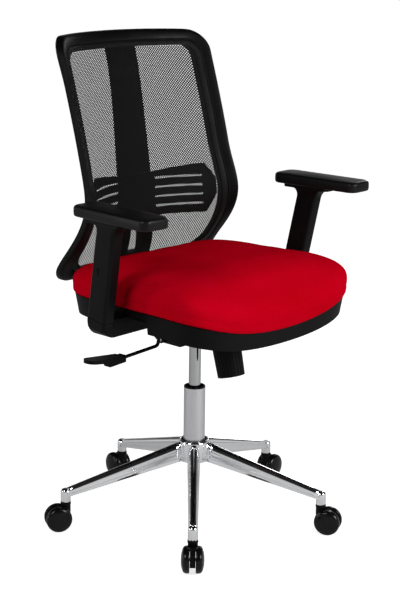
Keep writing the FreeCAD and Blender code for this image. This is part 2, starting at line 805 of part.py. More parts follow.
def seat_fall(x, y, drop):
    """How far the seat's edge has fallen at a point: an arc towards the front, less at the sides."""
    ahead = max(0.0, fall_start_y - y)
    run = fall_start_y - (seat_centre_y - seat_front)
    radius = (run * run + drop * drop) / (2 * drop)
    return (radius - math.sqrt(radius**2 - ahead**2)) * (1 - side_hold * (x / seat_half)**2)


def surface_over_seat(height_at, front_y, rear_y, columns=13, rows=19):
    """A smooth sheet through the heights that a function of x and y gives."""
    reach = seat_half + around_seat
    grid = []
    for column in range(columns):
        x = -reach + 2 * reach * column / (columns - 1)
        places = [front_y + (rear_y - front_y) * row / (rows - 1) for row in range(rows)]
        grid.append([Vector(x, y, height_at(x, y)) for y in places])
    surface = Part.BSplineSurface()
    surface.interpolate(grid)
    return surface.toShape()


def board_bottom_z():
    """Underside of the seat board."""
    return seam_z - board_below_seam - board_wall


def below_surface(level, drop):
    """Everything from far below up to a surface that is level at the rear and falls at the front."""
    front_y = seat_centre_y - seat_front - around_seat
    rear_y = seat_centre_y + seat_rear + around_seat
    sheet = surface_over_seat(lambda x, y: level - seat_fall(x, y, drop), front_y, fall_start_y)
    reach = seat_half + around_seat
    rear = block(-reach, reach, fall_start_y, rear_y, level - far_below, level)
    return joined([sheet.extrude(Vector(0, 0, -far_below)), rear])


def seat_wall(offset):
    """The tapered body of the shell, before its top and bottom are cut."""
    low = seat_outline(offset - shell_draft, shell_bottom_z - shell_bottom_drop - 10)
    high = seat_outline(offset + 1.0, seam_z + 10)
    return Part.makeLoft([low, high], True, True)


def seat_shell():
    """Black plastic tray around and under the cushion, with an arch for each arm bracket."""
    outer = seat_wall(0.0)
    outer = outer.common(below_surface(seam_z, seam_drop))
    outer = outer.cut(below_surface(shell_bottom_z, shell_bottom_drop))
    inner = seat_wall(-shell_wall)
    inner = inner.cut(below_surface(shell_bottom_z + shell_wall, shell_bottom_drop))
    roof = board_bottom_z() - shell_wall
    for side in (-1, 1):
        x0, x1 = sorted((side * (arch_inner_x - shell_wall), side * 2 * seat_half))
        inner = inner.cut(block(x0, x1, arch_front_y - shell_wall, arch_rear_y + shell_wall, 0,
                                roof + shell_wall))
    for x, y in seat_bolt_places():
        inner = inner.cut(upright(bolt_r + 5, 0, board_bottom_z(), x, y))
    shell = outer.cut(inner)
    for side in (-1, 1):
        x0, x1 = sorted((side * arch_inner_x, side * 2 * seat_half))
        shell = shell.cut(block(x0, x1, arch_front_y, arch_rear_y, 0, roof))
        for x, y in foot_bolt_places():
            shell = shell.cut(upright(bolt_r + seat_gap, 0, frame_top_z, side * x, y))
    for x, y in seat_bolt_places():
        shell = shell.cut(upright(bolt_r + seat_gap, 0, frame_top_z, x, y))
    return shell


def seat_board():
    """Moulded plywood board that carries the foam; it falls at the front like the shell."""
    board = seat_wall(-shell_wall - board_inset).common(below_surface(seam_z - board_below_seam, seam_drop))
    board = board.cut(below_surface(board_bottom_z(), seam_drop))
    places = list(seat_bolt_places())
    places += [(side * x, y) for side in (-1, 1) for x, y in foot_bolt_places()]
    for x, y in places:
        board = board.cut(upright(bolt_r + seat_gap, 0, seam_z - board_below_seam - 2, x, y))
    return board


def cushion_lift(y, height):
    """How much more the front of the cushion is filled, at a height over the seam."""
    return cushion_front_lift * blend_step(lift_rear_y - y, 0.0,
                                           lift_rear_y - lift_front_y) * height / cushion_crown


def crown_z(x, y):
    """Height of the cushion's top: a dome that falls towards the front."""
    dome = cushion_crown - cushion_side
    to_side = abs(x) / seat_half
    to_rear = max(0.0, y - seat_centre_y) / seat_rear
    to_front = max(0.0, seat_centre_y - y) / seat_front
    sag = dome * (to_side**dome_power + to_rear**(2 * dome_power) + to_front**(2 * dome_power) * to_side**2)
    return seam_z + cushion_crown - sag + cushion_lift(y, cushion_crown) - seat_fall(x, y,
                                                                                     cushion_crown_drop)


def under_crown():
    """Everything from far below up to the cushion's top."""
    front_y = seat_centre_y - seat_front - around_seat
    rear_y = seat_centre_y + seat_rear + around_seat
    return surface_over_seat(crown_z, front_y, rear_y, rows=33).extrude(Vector(0, 0, -far_below))


def cushion_ring(offset, height):
    """Closed curve round the cushion's side, at a height over the seam of the shell."""

    def ring_z(x, y):
        return seam_z + height + cushion_lift(y, max(0.0, height)) - seat_fall(x, y, seam_drop)

    return seat_curve(offset, ring_z)


def seat_cushion():
    """Foam cushion in red cloth: bulges over the shell's edge and is crowned on top."""
    rings = [seat_outline(-shell_draft, seam_z - seam_drop - 60)]
    for offset, height in (
            (-1.0, -16.0), (0.4 * cushion_bulge, 0.0), (cushion_bulge, 0.36 * cushion_side),
            (0.55 * cushion_bulge, 0.74 * cushion_side), (-0.25 * cushion_shoulder, 0.94 * cushion_side),
            (-cushion_shoulder, 1.08 * cushion_side)):
        rings.append(cushion_ring(offset, height))
    rings.append(seat_outline(-2.6 * cushion_shoulder, seam_z + 2 * cushion_crown))
    body = Part.makeLoft(rings, True, False)
    body = body.common(under_crown())
    rim = seat_wall(2 * soft_gap).cut(seat_wall(-shell_wall - soft_gap))
    rim = rim.common(below_surface(seam_z + soft_gap, seam_drop))
    return body.cut(rim).cut(below_surface(seam_z - board_below_seam + soft_gap, seam_drop))


# ---- armrests, drawn for the sitter's left side -----------------------------------------
def on_post(shape):
    """A shape drawn about a vertical post at the origin, leaned and set on the post's foot."""
    leaned = turn(shape, Vector(1, 0, 0), post_forward)
    leaned = turn(leaned, Vector(0, 1, 0), post_outward)
    return move(leaned, post_foot)


def post_direction():
    """The way the post points, and the way the armrest slides."""
    line = on_post(Part.makeLine(ORIGIN, UP))
    return (line.Vertexes[1].Point - line.Vertexes[0].Point).normalize()


def post_top():
    """Where the post's axis meets the underside of the arm plate."""
    direction = post_direction()
    rise = (plate_top_z - arm_plate_wall - post_foot.z) / direction.z
    return post_foot + direction * rise


def post_outline(wide, deep, chamfer, z):
    """Rectangle with cut corners, about the Z axis."""
    w, d, c = wide / 2, deep / 2, chamfer
    points = [(-w + c, -d), (w - c, -d), (w, -d + c), (w, d - c), (w - c, d), (-w + c, d), (-w, d - c),
              (-w, -d + c)]
    corners = [Vector(x, y, z) for x, y in points]
    return Part.makePolygon(corners + corners[:1])


def post_bar(wide, deep, chamfer, z0, z1):
    """A straight bar of the post's section."""
    return Part.Face(post_outline(wide, deep, chamfer, z0)).extrude(Vector(0, 0, z1 - z0))


def slide_space():
    """Size of the hollow in the sleeve: across, fore and aft."""
    return post_wide - 2 * post_wall, post_deep - 2 * post_wall


def latch_shape(grow, x0, x1):
    """The stadium of the height button, across the sleeve's outer wall."""
    wide, high = latch_half_wide + grow, latch_half_high + grow
    straight = high - wide
    middle = block(x0, x1, latch_offset - wide, latch_offset + wide, latch_rise - straight,
                   latch_rise + straight)
    ends = [across(wide, x0, x1, latch_offset, latch_rise + way * straight) for way in (-1, 1)]
    return joined([middle] + ends)


def arm_sleeve():
    """Hollow post that slides on the bracket's blade and flares into a neck under the pad."""
    length = (post_top() - post_foot).Length
    outer = post_bar(post_wide, post_deep, post_chamfer, 0.3, length + 30)
    hollow_wide, hollow_deep = slide_space()
    hollow = post_bar(hollow_wide, hollow_deep, post_chamfer - post_wall, -1, blade_length + 12)
    window = latch_shape(sliding_gap, 0, post_wide)
    leaned = on_post(outer).cut(on_post(hollow)).cut(on_post(window))
    top = post_top()
    leaned = leaned.common(block(-600, 600, -600, 600, 0, top.z - seat_gap))
    return joined([leaned, arm_neck()])


def arm_neck():
    """Flared head of the sleeve, level on top, turned with the pad."""
    top = post_top()
    direction = post_direction()
    low_centre = top - direction * (neck_height / direction.z)
    middle_centre = top - direction * (neck_height * 0.45 / direction.z)

    def level_section(centre, wide, deep, corner):
        flat = post_outline(wide, deep, corner, centre.z)
        flat.translate(Vector(centre.x, centre.y, 0))
        return flat

    sections = [
        level_section(low_centre, post_wide, post_deep + 1, post_chamfer),
        level_section(middle_centre, post_wide + 3, post_deep + 9, post_chamfer),
        level_section(top - Vector(0, 0, seat_gap), neck_wide, neck_deep, post_chamfer + 4)]
    return Part.makeLoft(sections, True, True)


def arm_plate():
    """Plate under the pad with a raised tongue that guides it."""
    top = post_top()
    plate = post_bar(arm_plate_wide, arm_plate_long, 9.0, top.z, plate_top_z)
    plate = move(plate, Vector(top.x, top.y, 0))
    tongue = block(top.x - tongue_wide / 2, top.x + tongue_wide / 2, top.y - tongue_long / 2,
                   top.y + tongue_long / 2, plate_top_z - 1, plate_top_z + tongue_high)
    return turn(joined([plate, tongue]), UP, -arm_toe_sign() * arm_toe, top)


def arm_toe_sign():
    """A turn that carries the left pad's front outwards is negative about +Z."""
    return -1.0


def arm_pad():
    """Soft pad: rounded in plan, with a groove underneath for the tongue."""
    top = post_top()
    centre_y = top.y - pad_forward
    low = plate_top_z + sliding_gap
    x0, x1 = top.x - pad_wide / 2, top.x + pad_wide / 2
    y0, y1 = centre_y - pad_long / 2, centre_y + pad_long / 2
    body = block(x0, x1, y0, y1, low, low + pad_thick)
    corners = [edge for edge in body.Edges if abs(edge.tangentAt(edge.FirstParameter).z) > 0.9]
    body = body.makeFillet(pad_corner_r, corners)
    rims = [edge for edge in body.Edges if abs(edge.BoundBox.ZMin - edge.BoundBox.ZMax) < 0.01]
    body = body.makeFillet(pad_edge_r, rims)
    reach = tongue_long / 2 + pad_travel + sliding_gap
    groove = block(top.x - tongue_wide / 2 - sliding_gap, top.x + tongue_wide / 2 + sliding_gap,
                   top.y - reach, top.y + reach, low - 1, plate_top_z + tongue_high + sliding_gap)
    return turn(body.cut(groove), UP, -arm_toe_sign() * arm_toe, top)


def arm_button():
    """Oval push button in the sleeve's outer wall that frees the height latch."""
    hollow_wide, hollow_deep = slide_space()
    head = latch_shape(0.0, hollow_wide / 2 - 2.5, post_wide / 2 + 1.5)
    return on_post(head)


def foot_bolt_places():
    """Three screws hold each arm bracket to the seat board."""
    return [(foot_inner_x + 16, foot_front_y + 16), (foot_inner_x + 16, foot_rear_y - 16),
            (foot_outer_x - 30, foot_front_y + 16)]


def foot_top_z():
    """Top of the bracket's foot, under the roof of the shell's arch."""
    return board_bottom_z() - shell_wall - seat_gap


def arm_bracket():
    """L-shaped bracket: foot under the board, elbow beside the seat, blade inside the sleeve."""
    blade_wide = slide_space()[0] - 2 * sliding_gap
    blade_deep = slide_space()[1] - 2 * sliding_gap
    blade = post_bar(blade_wide, blade_deep, post_chamfer - post_wall, -18, blade_length)
    groove = block(blade_wide / 2 - 4.5, blade_wide, latch_offset - latch_half_wide - 1.5,
                   latch_offset + latch_half_wide + 1.5, 16, blade_length + 1)
    blade = on_post(blade.cut(groove))
    stub = on_post(post_bar(post_wide, post_deep, post_chamfer, -20, 0))
    top_z = foot_top_z()
    outer_x = post_foot.x + post_wide / 2 - 1.2
    inner_x = post_foot.x - post_wide / 2
    front_y, rear_y = post_foot.y - post_deep / 2 + 2, post_foot.y + post_deep / 2 + 2
    round_r = elbow_round
    diagonal = round_r * (1 - math.sqrt(0.5))
    outline = [
        Part.makeLine(Vector(foot_inner_x, front_y, elbow_bottom_z + 3),
                      Vector(outer_x - round_r, front_y, elbow_bottom_z)),
        Part.Arc(Vector(outer_x - round_r, front_y, elbow_bottom_z),
                 Vector(outer_x - diagonal, front_y, elbow_bottom_z + diagonal),
                 Vector(outer_x, front_y, elbow_bottom_z + round_r)).toShape(),
        Part.makeLine(Vector(outer_x, front_y, elbow_bottom_z + round_r), Vector(outer_x, front_y, top_z)),
        Part.makeLine(Vector(outer_x, front_y, top_z), Vector(foot_inner_x, front_y, top_z)),
        Part.makeLine(Vector(foot_inner_x, front_y, top_z),
                      Vector(foot_inner_x, front_y, elbow_bottom_z + 3))]
    bar = Part.Face(Part.Wire(outline)).extrude(Vector(0, rear_y - front_y, 0))
    edges = [edge for edge in bar.Edges if edge.BoundBox.ZMax < elbow_bottom_z + round_r + 0.1
             and edge.BoundBox.YMax - edge.BoundBox.YMin < 0.1]
    bar = bar.makeFillet(5.0, edges)
    pocket = block(foot_inner_x + 8, inner_x - 24, front_y + 6, rear_y - 6, 0, top_z - foot_wall)
    bar = bar.cut(pocket)
    foot = block(foot_inner_x, foot_outer_x, foot_front_y, foot_rear_y, top_z - foot_wall, top_z)
    sleeve_space = on_post(post_bar(post_wide + 1, post_deep + 1, post_chamfer, 0, post_deep))
    body = joined([bar, foot, stub]).cut(sleeve_space)
    body = joined([body, blade])
    for x, y in foot_bolt_places():
        body = body.cut(upright(bolt_r + seat_gap, 0, frame_top_z, x, y))
    return body


def arm_bolts():
    """The six screws of the arm brackets."""
    head_z = foot_top_z() - foot_wall
    reach = board_bottom_z() + board_wall - 3 - head_z
    return [bolt(side * x, y, head_z, reach) for side in (-1, 1) for x, y in foot_bolt_places()]


# ---- back -------------------------------------------------------------------------------
# Depth of the back's front face at the edge of its window, from the foot to the top.
edge_depth = smooth_line([
    (560, 205), (600, 183), (650, 147), (700, 122), (745, 115.5), (800, 127), (900, 154), (1000,
                                                                                           184), (1130,
                                                                                                  225)])
# Depth of the spine's front face.
spine_depth = smooth_line([
    (540, 238), (575, 221), (600, 208), (655, 197.5), (700, 197), (800, 204.5), (900, 217), (1000, 232),
    (1050, 242.5), (1085, 252), (1125, 263)])
edge_x = 192.0


def hollow_depth(x):
    """How far the back's face falls towards the sitter at the sides, seen from above."""
    return x * x / 1200.0 + 17.0 * (abs(x) / 227.0)**6


def back_depth(x, z):
    """The front face of the back: hollow in plan above the waist, nearly flat at the foot."""
    share = 0.1 + 0.9 * blend_step(z, 610.0, 815.0)
    return edge_depth(z) + share * (hollow_depth(edge_x) - hollow_depth(x))


def curved_slab(depth_at, front, thickness, half_x, z0, z1):
    """A slab of even depth behind a curved face given as a function of x and z."""
    columns, rows = 17, 25
    grid = []
    for column in range(columns):
        x = -half_x + 2 * half_x * column / (columns - 1)
        heights = [z0 + (z1 - z0) * row / (rows - 1) for row in range(rows)]
        grid.append([Vector(x, depth_at(x, z) + front, z) for z in heights])
    surface = Part.BSplineSurface()
    surface.interpolate(grid)
    return surface.toShape().extrude(Vector(0, thickness, 0))


def back_slab(front, thickness):
    """A slab of the back's own curvature."""
    return curved_slab(back_depth, front, thickness, frame_half_low + 14, frame_bottom_z - 12,
                       frame_top_z + 6)


def side_x(half_top, half_low, z):
    """Half-width of the back at a height: upright above the waist, wider below."""
    return half_top + (half_low - half_top) * (1 - blend_step(z, window_bottom_z + 40, waist_z))


def front_view(half_top, half_low, top_z, arch, bottom_z, corner_top, corner_low, offset):
    """Closed front view of the back: arched top, sides that widen downwards, round corners."""
    top, low = top_z + offset, bottom_z - offset
    r_top, r_low = corner_top + offset, corner_low + offset
    side_top_z = top - arch - r_top
    side_low_z = low + r_low
    heights = [side_low_z + (side_top_z - side_low_z) * i / 6 for i in range(7)]
    side = [Vector(side_x(half_top, half_low, z) + offset, 0, z) for z in heights]
    curve = Part.BSplineCurve()
    curve.interpolate(side)
    right = curve.toShape()
    high, foot = side[-1], side[0]
    reach_top = high.x - r_top
    slant = arch * 0.35
    top_start = Vector(reach_top, 0, top - slant)
    corner_z = high.z + (top - slant - high.z) * math.sqrt(0.5)
    corner_middle = Vector(high.x - r_top * (1 - math.sqrt(0.5)), 0, corner_z)
    low_start = Vector(foot.x - r_low, 0, low)
    low_middle = Vector(foot.x - r_low * (1 - math.sqrt(0.5)), 0, low + r_low * (1 - math.sqrt(0.5)))

    def across_x(point):
        return Vector(-point.x, 0, point.z)

    left = Part.BSplineCurve()
    left.interpolate([across_x(point) for point in side])
    edges = [
        right, Part.Arc(high, corner_middle, top_start).toShape(),
        Part.Arc(top_start, Vector(0, 0, top), across_x(top_start)).toShape(),
        Part.Arc(across_x(top_start), across_x(corner_middle), across_x(high)).toShape(), left.toShape(),
        Part.Arc(across_x(foot), across_x(low_middle), across_x(low_start)).toShape(),
        Part.makeLine(across_x(low_start), low_start), Part.Arc(low_start, low_middle, foot).toShape()]
    return Part.Wire(Part.__sortEdges__(edges))


def front_prism(wire):
    """A front view pushed through the whole depth of the back."""
    return Part.Face(wire).extrude(Vector(0, 400, 0))


def frame_outline(offset=0.0):
    """Outside of the back frame."""
    return front_prism(front_view(frame_half_top, frame_half_low, frame_top_z, frame_top_arch,
                                  frame_bottom_z,
                                  frame_top_corner, frame_low_corner, offset))


def window_outline(offset=0.0):
    """Inside of the back frame."""
    return front_prism(front_view(window_half_top, window_half_low, window_top_z, frame_top_arch * 0.6,
                                  window_bottom_z, frame_top_corner - 30, frame_low_corner - 18, offset))


def back_frame():
    """Plastic loop that holds the mesh in a groove."""
    ring = frame_outline().cut(window_outline())
    return ring.common(back_slab(0.0, frame_thick))


def back_mesh():
    """Stretched net across the window, tucked against the inside of the frame."""
    return window_outline(-soft_gap).common(back_slab(mesh_depth, mesh_thick))


def spine_half(z):
    """Half-width of the spine at a height."""
    return spine_half_top + (spine_half_low - spine_half_top) * (1 - blend_step(z, 640.0, 1050.0))


def slit_half(z):
    """Half-width of the slit between the two legs of the spine."""
    return slit_half_low * max(0.0, slit_top_z - z) / (slit_top_z - 650.0)


def spine_section(z):
    """The spine's outline at a height: flat in front, with bevelled edges behind."""
    half, front = spine_half(z), spine_depth(z)
    rear_half, rear = half - spine_bevel, front + spine_thick
    points = [(-half, front), (half, front), (half, front + spine_edge), (rear_half, rear),
              (-rear_half, rear),
              (-half, front + spine_edge)]
    corners = [Vector(x, y, z) for x, y in points]
    return Part.makePolygon(corners + corners[:1])


def spine_bar(z0, z1, count=12):
    """The spine before its slit: its sections joined smoothly between two heights."""
    heights = [z0 + (z1 - z0) * i / (count - 1) for i in range(count)]
    return Part.makeLoft([spine_section(z) for z in heights], True, False)


def back_spine():
    """Support behind the mesh: one bar at the top that parts into two legs towards the foot."""
    body = spine_bar(spine_bottom_z, window_top_z)
    low_z = carrier_top_z + 6
    slit = prism([Vector(-slit_half(low_z), 0, low_z), Vector(slit_half(low_z), 0, low_z),
                  Vector(0.8, 0, slit_top_z), Vector(-0.8, 0, slit_top_z)], Vector(0, 400, 0))
    lap = block(-spine_lap_half, spine_lap_half, 0, 400, window_top_z - spine_lap_low,
                window_top_z + spine_lap_high)
    lap = lap.common(back_slab(spine_lap_depth, frame_thick))
    mount = block(-carrier_half + 2, carrier_half - 2, 226, mount_rear_y, spine_bottom_z, carrier_top_z)
    mount = mount.cut(curved_slab(lambda x, z: spine_depth(z), -200, 202, 90, 500, 700))
    keep_out = frame_outline(seat_gap).cut(window_outline(-seat_gap))
    keep_out = keep_out.common(back_slab(-30.0, frame_thick + 30 + seat_gap))
    body = joined([body, lap, mount]).cut(slit).cut(keep_out)
    behind = block(-2 * carrier_half, 2 * carrier_half, mount_rear_y, 2 * mount_rear_y, 0,
                   carrier_top_z + 6)
    body = body.cut(behind)
    for x, z in carrier_bolt_places():
        body = body.cut(Part.makeCylinder(bolt_r + seat_gap, 60, Vector(x, mount_rear_y + 1, z),
                                          Vector(0, -1, 0)))
    return body


def carrier_bolt_places():
    """Four screws hold the spine to the carrier."""
    return [(x, z) for x in (-carrier_half + 16, carrier_half - 16) for z in (spine_bottom_z + 12,
                                                                              carrier_top_z - 12)]


def back_carrier():
    """Steel arm from the housing's pin, under the seat and up behind it, to the spine."""
    half = housing_half + 1.0 + carrier_arm_wall
    front = mount_rear_y + seat_gap
    outline = [
        Vector(0, main_pivot_y + 3, main_pivot_z - main_eye_r), Vector(0, carrier_rise_y, carrier_bottom_z),
        Vector(0, front - 50, carrier_bottom_z), Vector(0, front + carrier_wall, carrier_bottom_z + 52),
        Vector(0, front + carrier_wall, carrier_top_z), Vector(0, front, carrier_top_z),
        Vector(0, front, carrier_bottom_z + 62), Vector(0, front - 55, carrier_bottom_z + carrier_deep),
        Vector(0, carrier_rise_y - 12, carrier_bottom_z + carrier_deep),
        Vector(0, main_pivot_y - main_eye_r + 2, main_pivot_z + 8)]
    body = Part.Face(Part.makePolygon(outline + outline[:1]))
    body = move(body, Vector(-half, 0, 0)).extrude(Vector(2 * half, 0, 0))
    body = joined([body, across(main_eye_r, -half, half, main_pivot_y, main_pivot_z)])
    gap = block(-housing_half - 1.0, housing_half + 1.0, -housing_half, housing_rear_y + 26, 0, frame_top_z)
    body = body.cut(gap)
    waist = prism([Vector(-carrier_half, 400, 520), Vector(-carrier_half, 400, 700),
                   Vector(-2 * half, 400, 700),
                   Vector(-2 * half, 400, 400), Vector(-half - 1, 400, 400),
                   Vector(-half - 1, 400, 452)], Vector(0, -400, 0))
    body = body.cut(waist).cut(mirrored(waist))
    body = body.cut(across(main_pin_r + running_gap, -2 * half, 2 * half, main_pivot_y, main_pivot_z))
    for x, z in carrier_bolt_places():
        body = body.cut(Part.makeCylinder(bolt_r + seat_gap, 60, Vector(x, mount_rear_y - 1, z),
                                          Vector(0, 1, 0)))
    return body


def carrier_bolts():
    """The screws between the carrier and the spine."""
    bolts = []
    rear = mount_rear_y + seat_gap + carrier_wall
    for x, z in carrier_bolt_places():
        head = Part.makeCylinder(bolt_head_r, bolt_head_high, Vector(x, rear, z), Vector(0, 1, 0))
        shank = Part.makeCylinder(bolt_r, carrier_wall + 10, Vector(x, rear + 1, z), Vector(0, -1, 0))
        bolts.append(joined([head, shank]))
    return bolts


def lumbar_depth(x, z):
    """Front face of the lumbar support: flat at the spine, with wings that reach forward."""
    return 195.0 - 51.0 * (abs(x) / 170.0)**2.4 + 0.076 * (z - 745.0)


def lumbar_support():
    """Thin winged pad behind the mesh with slots, and a block that grips the slit of the spine."""
    half, top, low = lumbar_half, lumbar_top_z, lumbar_bottom_z
    right = [(52, low), (half - 22, low), (half - 8, low + 16), (half, low + 46), (half, top - 34),
             (half - 16, top - 2),
             (half - 24, top), (52, top - 14)]
    left = [(-x, z) for x, z in reversed(right)]
    view = prism([Vector(x, 0, z) for x, z in right + left], Vector(0, 400, 0))
    slab = curved_slab(lumbar_depth, 0.0, lumbar_thick, half + 6, low - 6, top + 6)
    pad = view.common(slab)
    for row in range(lumbar_slots):
        z = lumbar_slot_first_z + row * lumbar_slot_pitch
        for side in (-1, 1):
            x0, x1 = sorted((side * lumbar_slot_inner_x, side * lumbar_slot_outer_x))
            slot = block(x0, x1, 0, 400, z - lumbar_slot_high / 2, z + lumbar_slot_high / 2)
            rounds = [Part.makeCylinder(lumbar_slot_high / 2, 400, Vector(x, 0, z),
                                        Vector(0, 1, 0)) for x in (x0, x1)]
            pad = pad.cut(joined([slot] + rounds))
        pad = pad.cut(Part.makeCylinder(lumbar_slot_high * 0.55, 400, Vector(0, 0, z), Vector(0, 1, 0)))
    return pad


def lumbar_slider():
    """Guide of the lumbar support: a neck through the slit and a wider head behind the spine."""
    z0, z1 = 722.0, 756.0
    neck = curved_slab(lumbar_depth, lumbar_thick - 1, 25.5, 4.0, z0, z1)
    head = curved_slab(lumbar_depth, lumbar_thick + 22.5, 4.0, 22.0, z0, z1)
    return joined([neck, head])


# ---- writing ----------------------------------------------------------------------------
def save(name, shapes):
    """Write one node: a solid, or a group of separate solids."""
    if not isinstance(shapes, (list, tuple)):
        shapes = [shapes]
    solids = []
    for shape in shapes:
        solids += shape.Solids
    whole = solids[0] if len(solids) == 1 else Part.makeCompound(solids)
    if not whole.isValid():
        print("not valid:", name)
    whole.exportStep("parts/" + name + ".step")
    print(name, "solids", len(solids), "volume", round(whole.Volume / 1000, 1), "cm3")


def build():
    """Every node of the chair."""
    save("base_star", base_star())
    save("hub_collar", hub_collar())
    save("column_tube", column_tube())
    save("column_bushing", column_bushing())
    save("gas_cylinder", gas_cylinder())
    save("piston_rod", piston_rod())
    save("thrust_bearing", thrust_bearing())
    save("rod_clip", rod_clip())
    save("release_button", release_button())
    hood, steel = caster_hood(), caster_steel()
    wheels = {"left": caster_wheel(1), "right": caster_wheel(-1)}
    for index in range(leg_count):
        number = str(index + 1)
        save("caster_hood_" + number, caster_place(hood, index))
        save("caster_stem_and_axle_" + number, [caster_place(piece, index) for piece in steel])
        for side, wheel in wheels.items():
            save("caster_wheel_" + side + "_" + number, caster_place(wheel, index))
    save("mechanism_housing", mechanism_housing())
    main_pin, front_pin = pivot_pins()
    save("main_pivot_pin", main_pin)
    save("front_pivot_pin", front_pin)
    save("seat_plate", seat_plate())
    save("seat_screws", seat_bolts() + arm_bolts())
    save("tension_knob", tension_knob())
    save("tension_screw", tension_screw())
    save("tension_spring", tension_spring())
    save("lever_block", lever_block())
    save("lever_rod", lever_rod())
    save("lever_handle", lever_handle())
    save("seat_shell", seat_shell())
    save("seat_board", seat_board())
    save("seat_cushion", seat_cushion())
    arm_parts = {"arm_bracket": arm_bracket(), "arm_sleeve": arm_sleeve(), "arm_plate": arm_plate(),
                 "arm_pad": arm_pad(), "arm_button": arm_button()}
    for name, shape in arm_parts.items():
        save(name + "_left", shape)
        save(name + "_right", mirrored(shape))
    save("back_frame", back_frame())
    save("back_mesh", back_mesh())
    save("back_spine", back_spine())
    save("back_carrier", back_carrier())
    save("carrier_bolts", carrier_bolts())
    save("lumbar_support", joined([lumbar_support(), lumbar_slider()]))


build()
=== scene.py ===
# A swivel office chair: red seat, black net back, T-shaped armrests and a chromed star base.
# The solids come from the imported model; this script dresses them, from the floor upwards.
import bpy
import math
import numpy as np
import bmesh
from mathutils import Matrix, Vector


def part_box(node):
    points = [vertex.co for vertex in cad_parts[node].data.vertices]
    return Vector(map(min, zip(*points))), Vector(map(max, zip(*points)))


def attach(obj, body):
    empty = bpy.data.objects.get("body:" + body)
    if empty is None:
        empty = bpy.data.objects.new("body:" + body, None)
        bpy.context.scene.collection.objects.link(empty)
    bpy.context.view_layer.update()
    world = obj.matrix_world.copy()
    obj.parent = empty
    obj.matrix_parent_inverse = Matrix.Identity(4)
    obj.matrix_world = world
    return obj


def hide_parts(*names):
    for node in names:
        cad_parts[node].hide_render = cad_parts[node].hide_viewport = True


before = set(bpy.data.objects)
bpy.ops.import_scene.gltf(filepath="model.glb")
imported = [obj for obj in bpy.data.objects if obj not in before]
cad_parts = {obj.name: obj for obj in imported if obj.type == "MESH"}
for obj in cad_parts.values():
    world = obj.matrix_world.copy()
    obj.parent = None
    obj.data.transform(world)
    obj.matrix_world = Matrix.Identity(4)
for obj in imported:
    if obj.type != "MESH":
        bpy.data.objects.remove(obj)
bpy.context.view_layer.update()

# ---- studio ---------------------------------------------------------------------------
# A pale floor without an edge in view, a large soft lamp in front, a small one on the left
# and two strips that draw the edges of the black parts. Mirrors see a pale band low down.
camera_data = bpy.data.cameras.new("camera")
camera_data.lens = 90.0
camera_data.sensor_fit = "VERTICAL"
camera_data.sensor_height = 36.0
camera_data.clip_end = 200.0
camera = bpy.data.objects.new("camera", camera_data)
bpy.context.scene.collection.objects.link(camera)
camera_turn = math.radians(46.17)
camera_pitch = math.radians(-14.13)
camera_roll = math.radians(0.72)
look = Vector((math.sin(camera_turn) * math.cos(camera_pitch), math.cos(camera_turn) * math.cos(camera_pitch),
               math.sin(camera_pitch)))
right = look.cross(Vector((0, 0, 1))).normalized()
above = right.cross(look)
tilted_right = right * math.cos(camera_roll) + above * math.sin(camera_roll)
tilted_above = above * math.cos(camera_roll) - right * math.sin(camera_roll)
placing = Matrix((tilted_right, tilted_above, -look)).transposed().to_4x4()
placing.translation = Vector((-2.3903, -2.3083, 1.3610))
camera.matrix_world = placing
bpy.context.scene.camera = camera
bpy.context.scene.view_settings.view_transform = "Standard"


def new_material(name):
    """An empty node material with a Principled shader; returns material, tree and shader."""
    material = bpy.data.materials.new(name)
    material.use_nodes = True
    tree = material.node_tree
    return material, tree, tree.nodes["Principled BSDF"]


def node(tree, kind, inputs=(), **settings):
    """A shader node with its settings, and its inputs filled by value or by link."""
    made = tree.nodes.new(kind)
    for key, value in settings.items():
        setattr(made, key, value)
    for key, value in dict(inputs).items():
        if isinstance(value, bpy.types.NodeSocket):
            tree.links.new(value, made.inputs[key])
        else:
            made.inputs[key].default_value = value
    return made


def seen_rays(tree):
    """1 for camera, glossy and transmission rays, 0 for the rays that light the object."""
    path = node(tree, "ShaderNodeLightPath")
    either = node(tree, "ShaderNodeMath", {0: path.outputs["Is Camera Ray"], 1: path.outputs["Is Glossy Ray"]},
                  operation="MAXIMUM")
    return node(tree, "ShaderNodeMath", {0: either.outputs[0], 1: path.outputs["Is Transmission Ray"]},
                operation="MAXIMUM").outputs[0], path.outputs["Is Glossy Ray"]


world = bpy.data.worlds.new("studio")
bpy.context.scene.world = world
world.use_nodes = True
sky = world.node_tree
seen, glossy = seen_rays(sky)
direction = node(sky, "ShaderNodeSeparateXYZ", {0: node(sky, "ShaderNodeTexCoord").outputs["Generated"]})
ceiling = node(sky, "ShaderNodeMapRange", {0: direction.outputs["Z"], 1: 0.12, 2: 0.27, 3: 0.62, 4: 0.015})
dark_above = node(sky, "ShaderNodeMix", {0: glossy, 2: 1.0, 3: ceiling.outputs[0]}, data_type="FLOAT")
level = node(sky, "ShaderNodeMix", {0: seen, 2: 0.19, 3: dark_above.outputs[0]}, data_type="FLOAT")
sky.links.new(level.outputs[0], sky.nodes["Background"].inputs["Strength"])
sky.nodes["Background"].inputs["Color"].default_value = (1, 1, 1, 1)

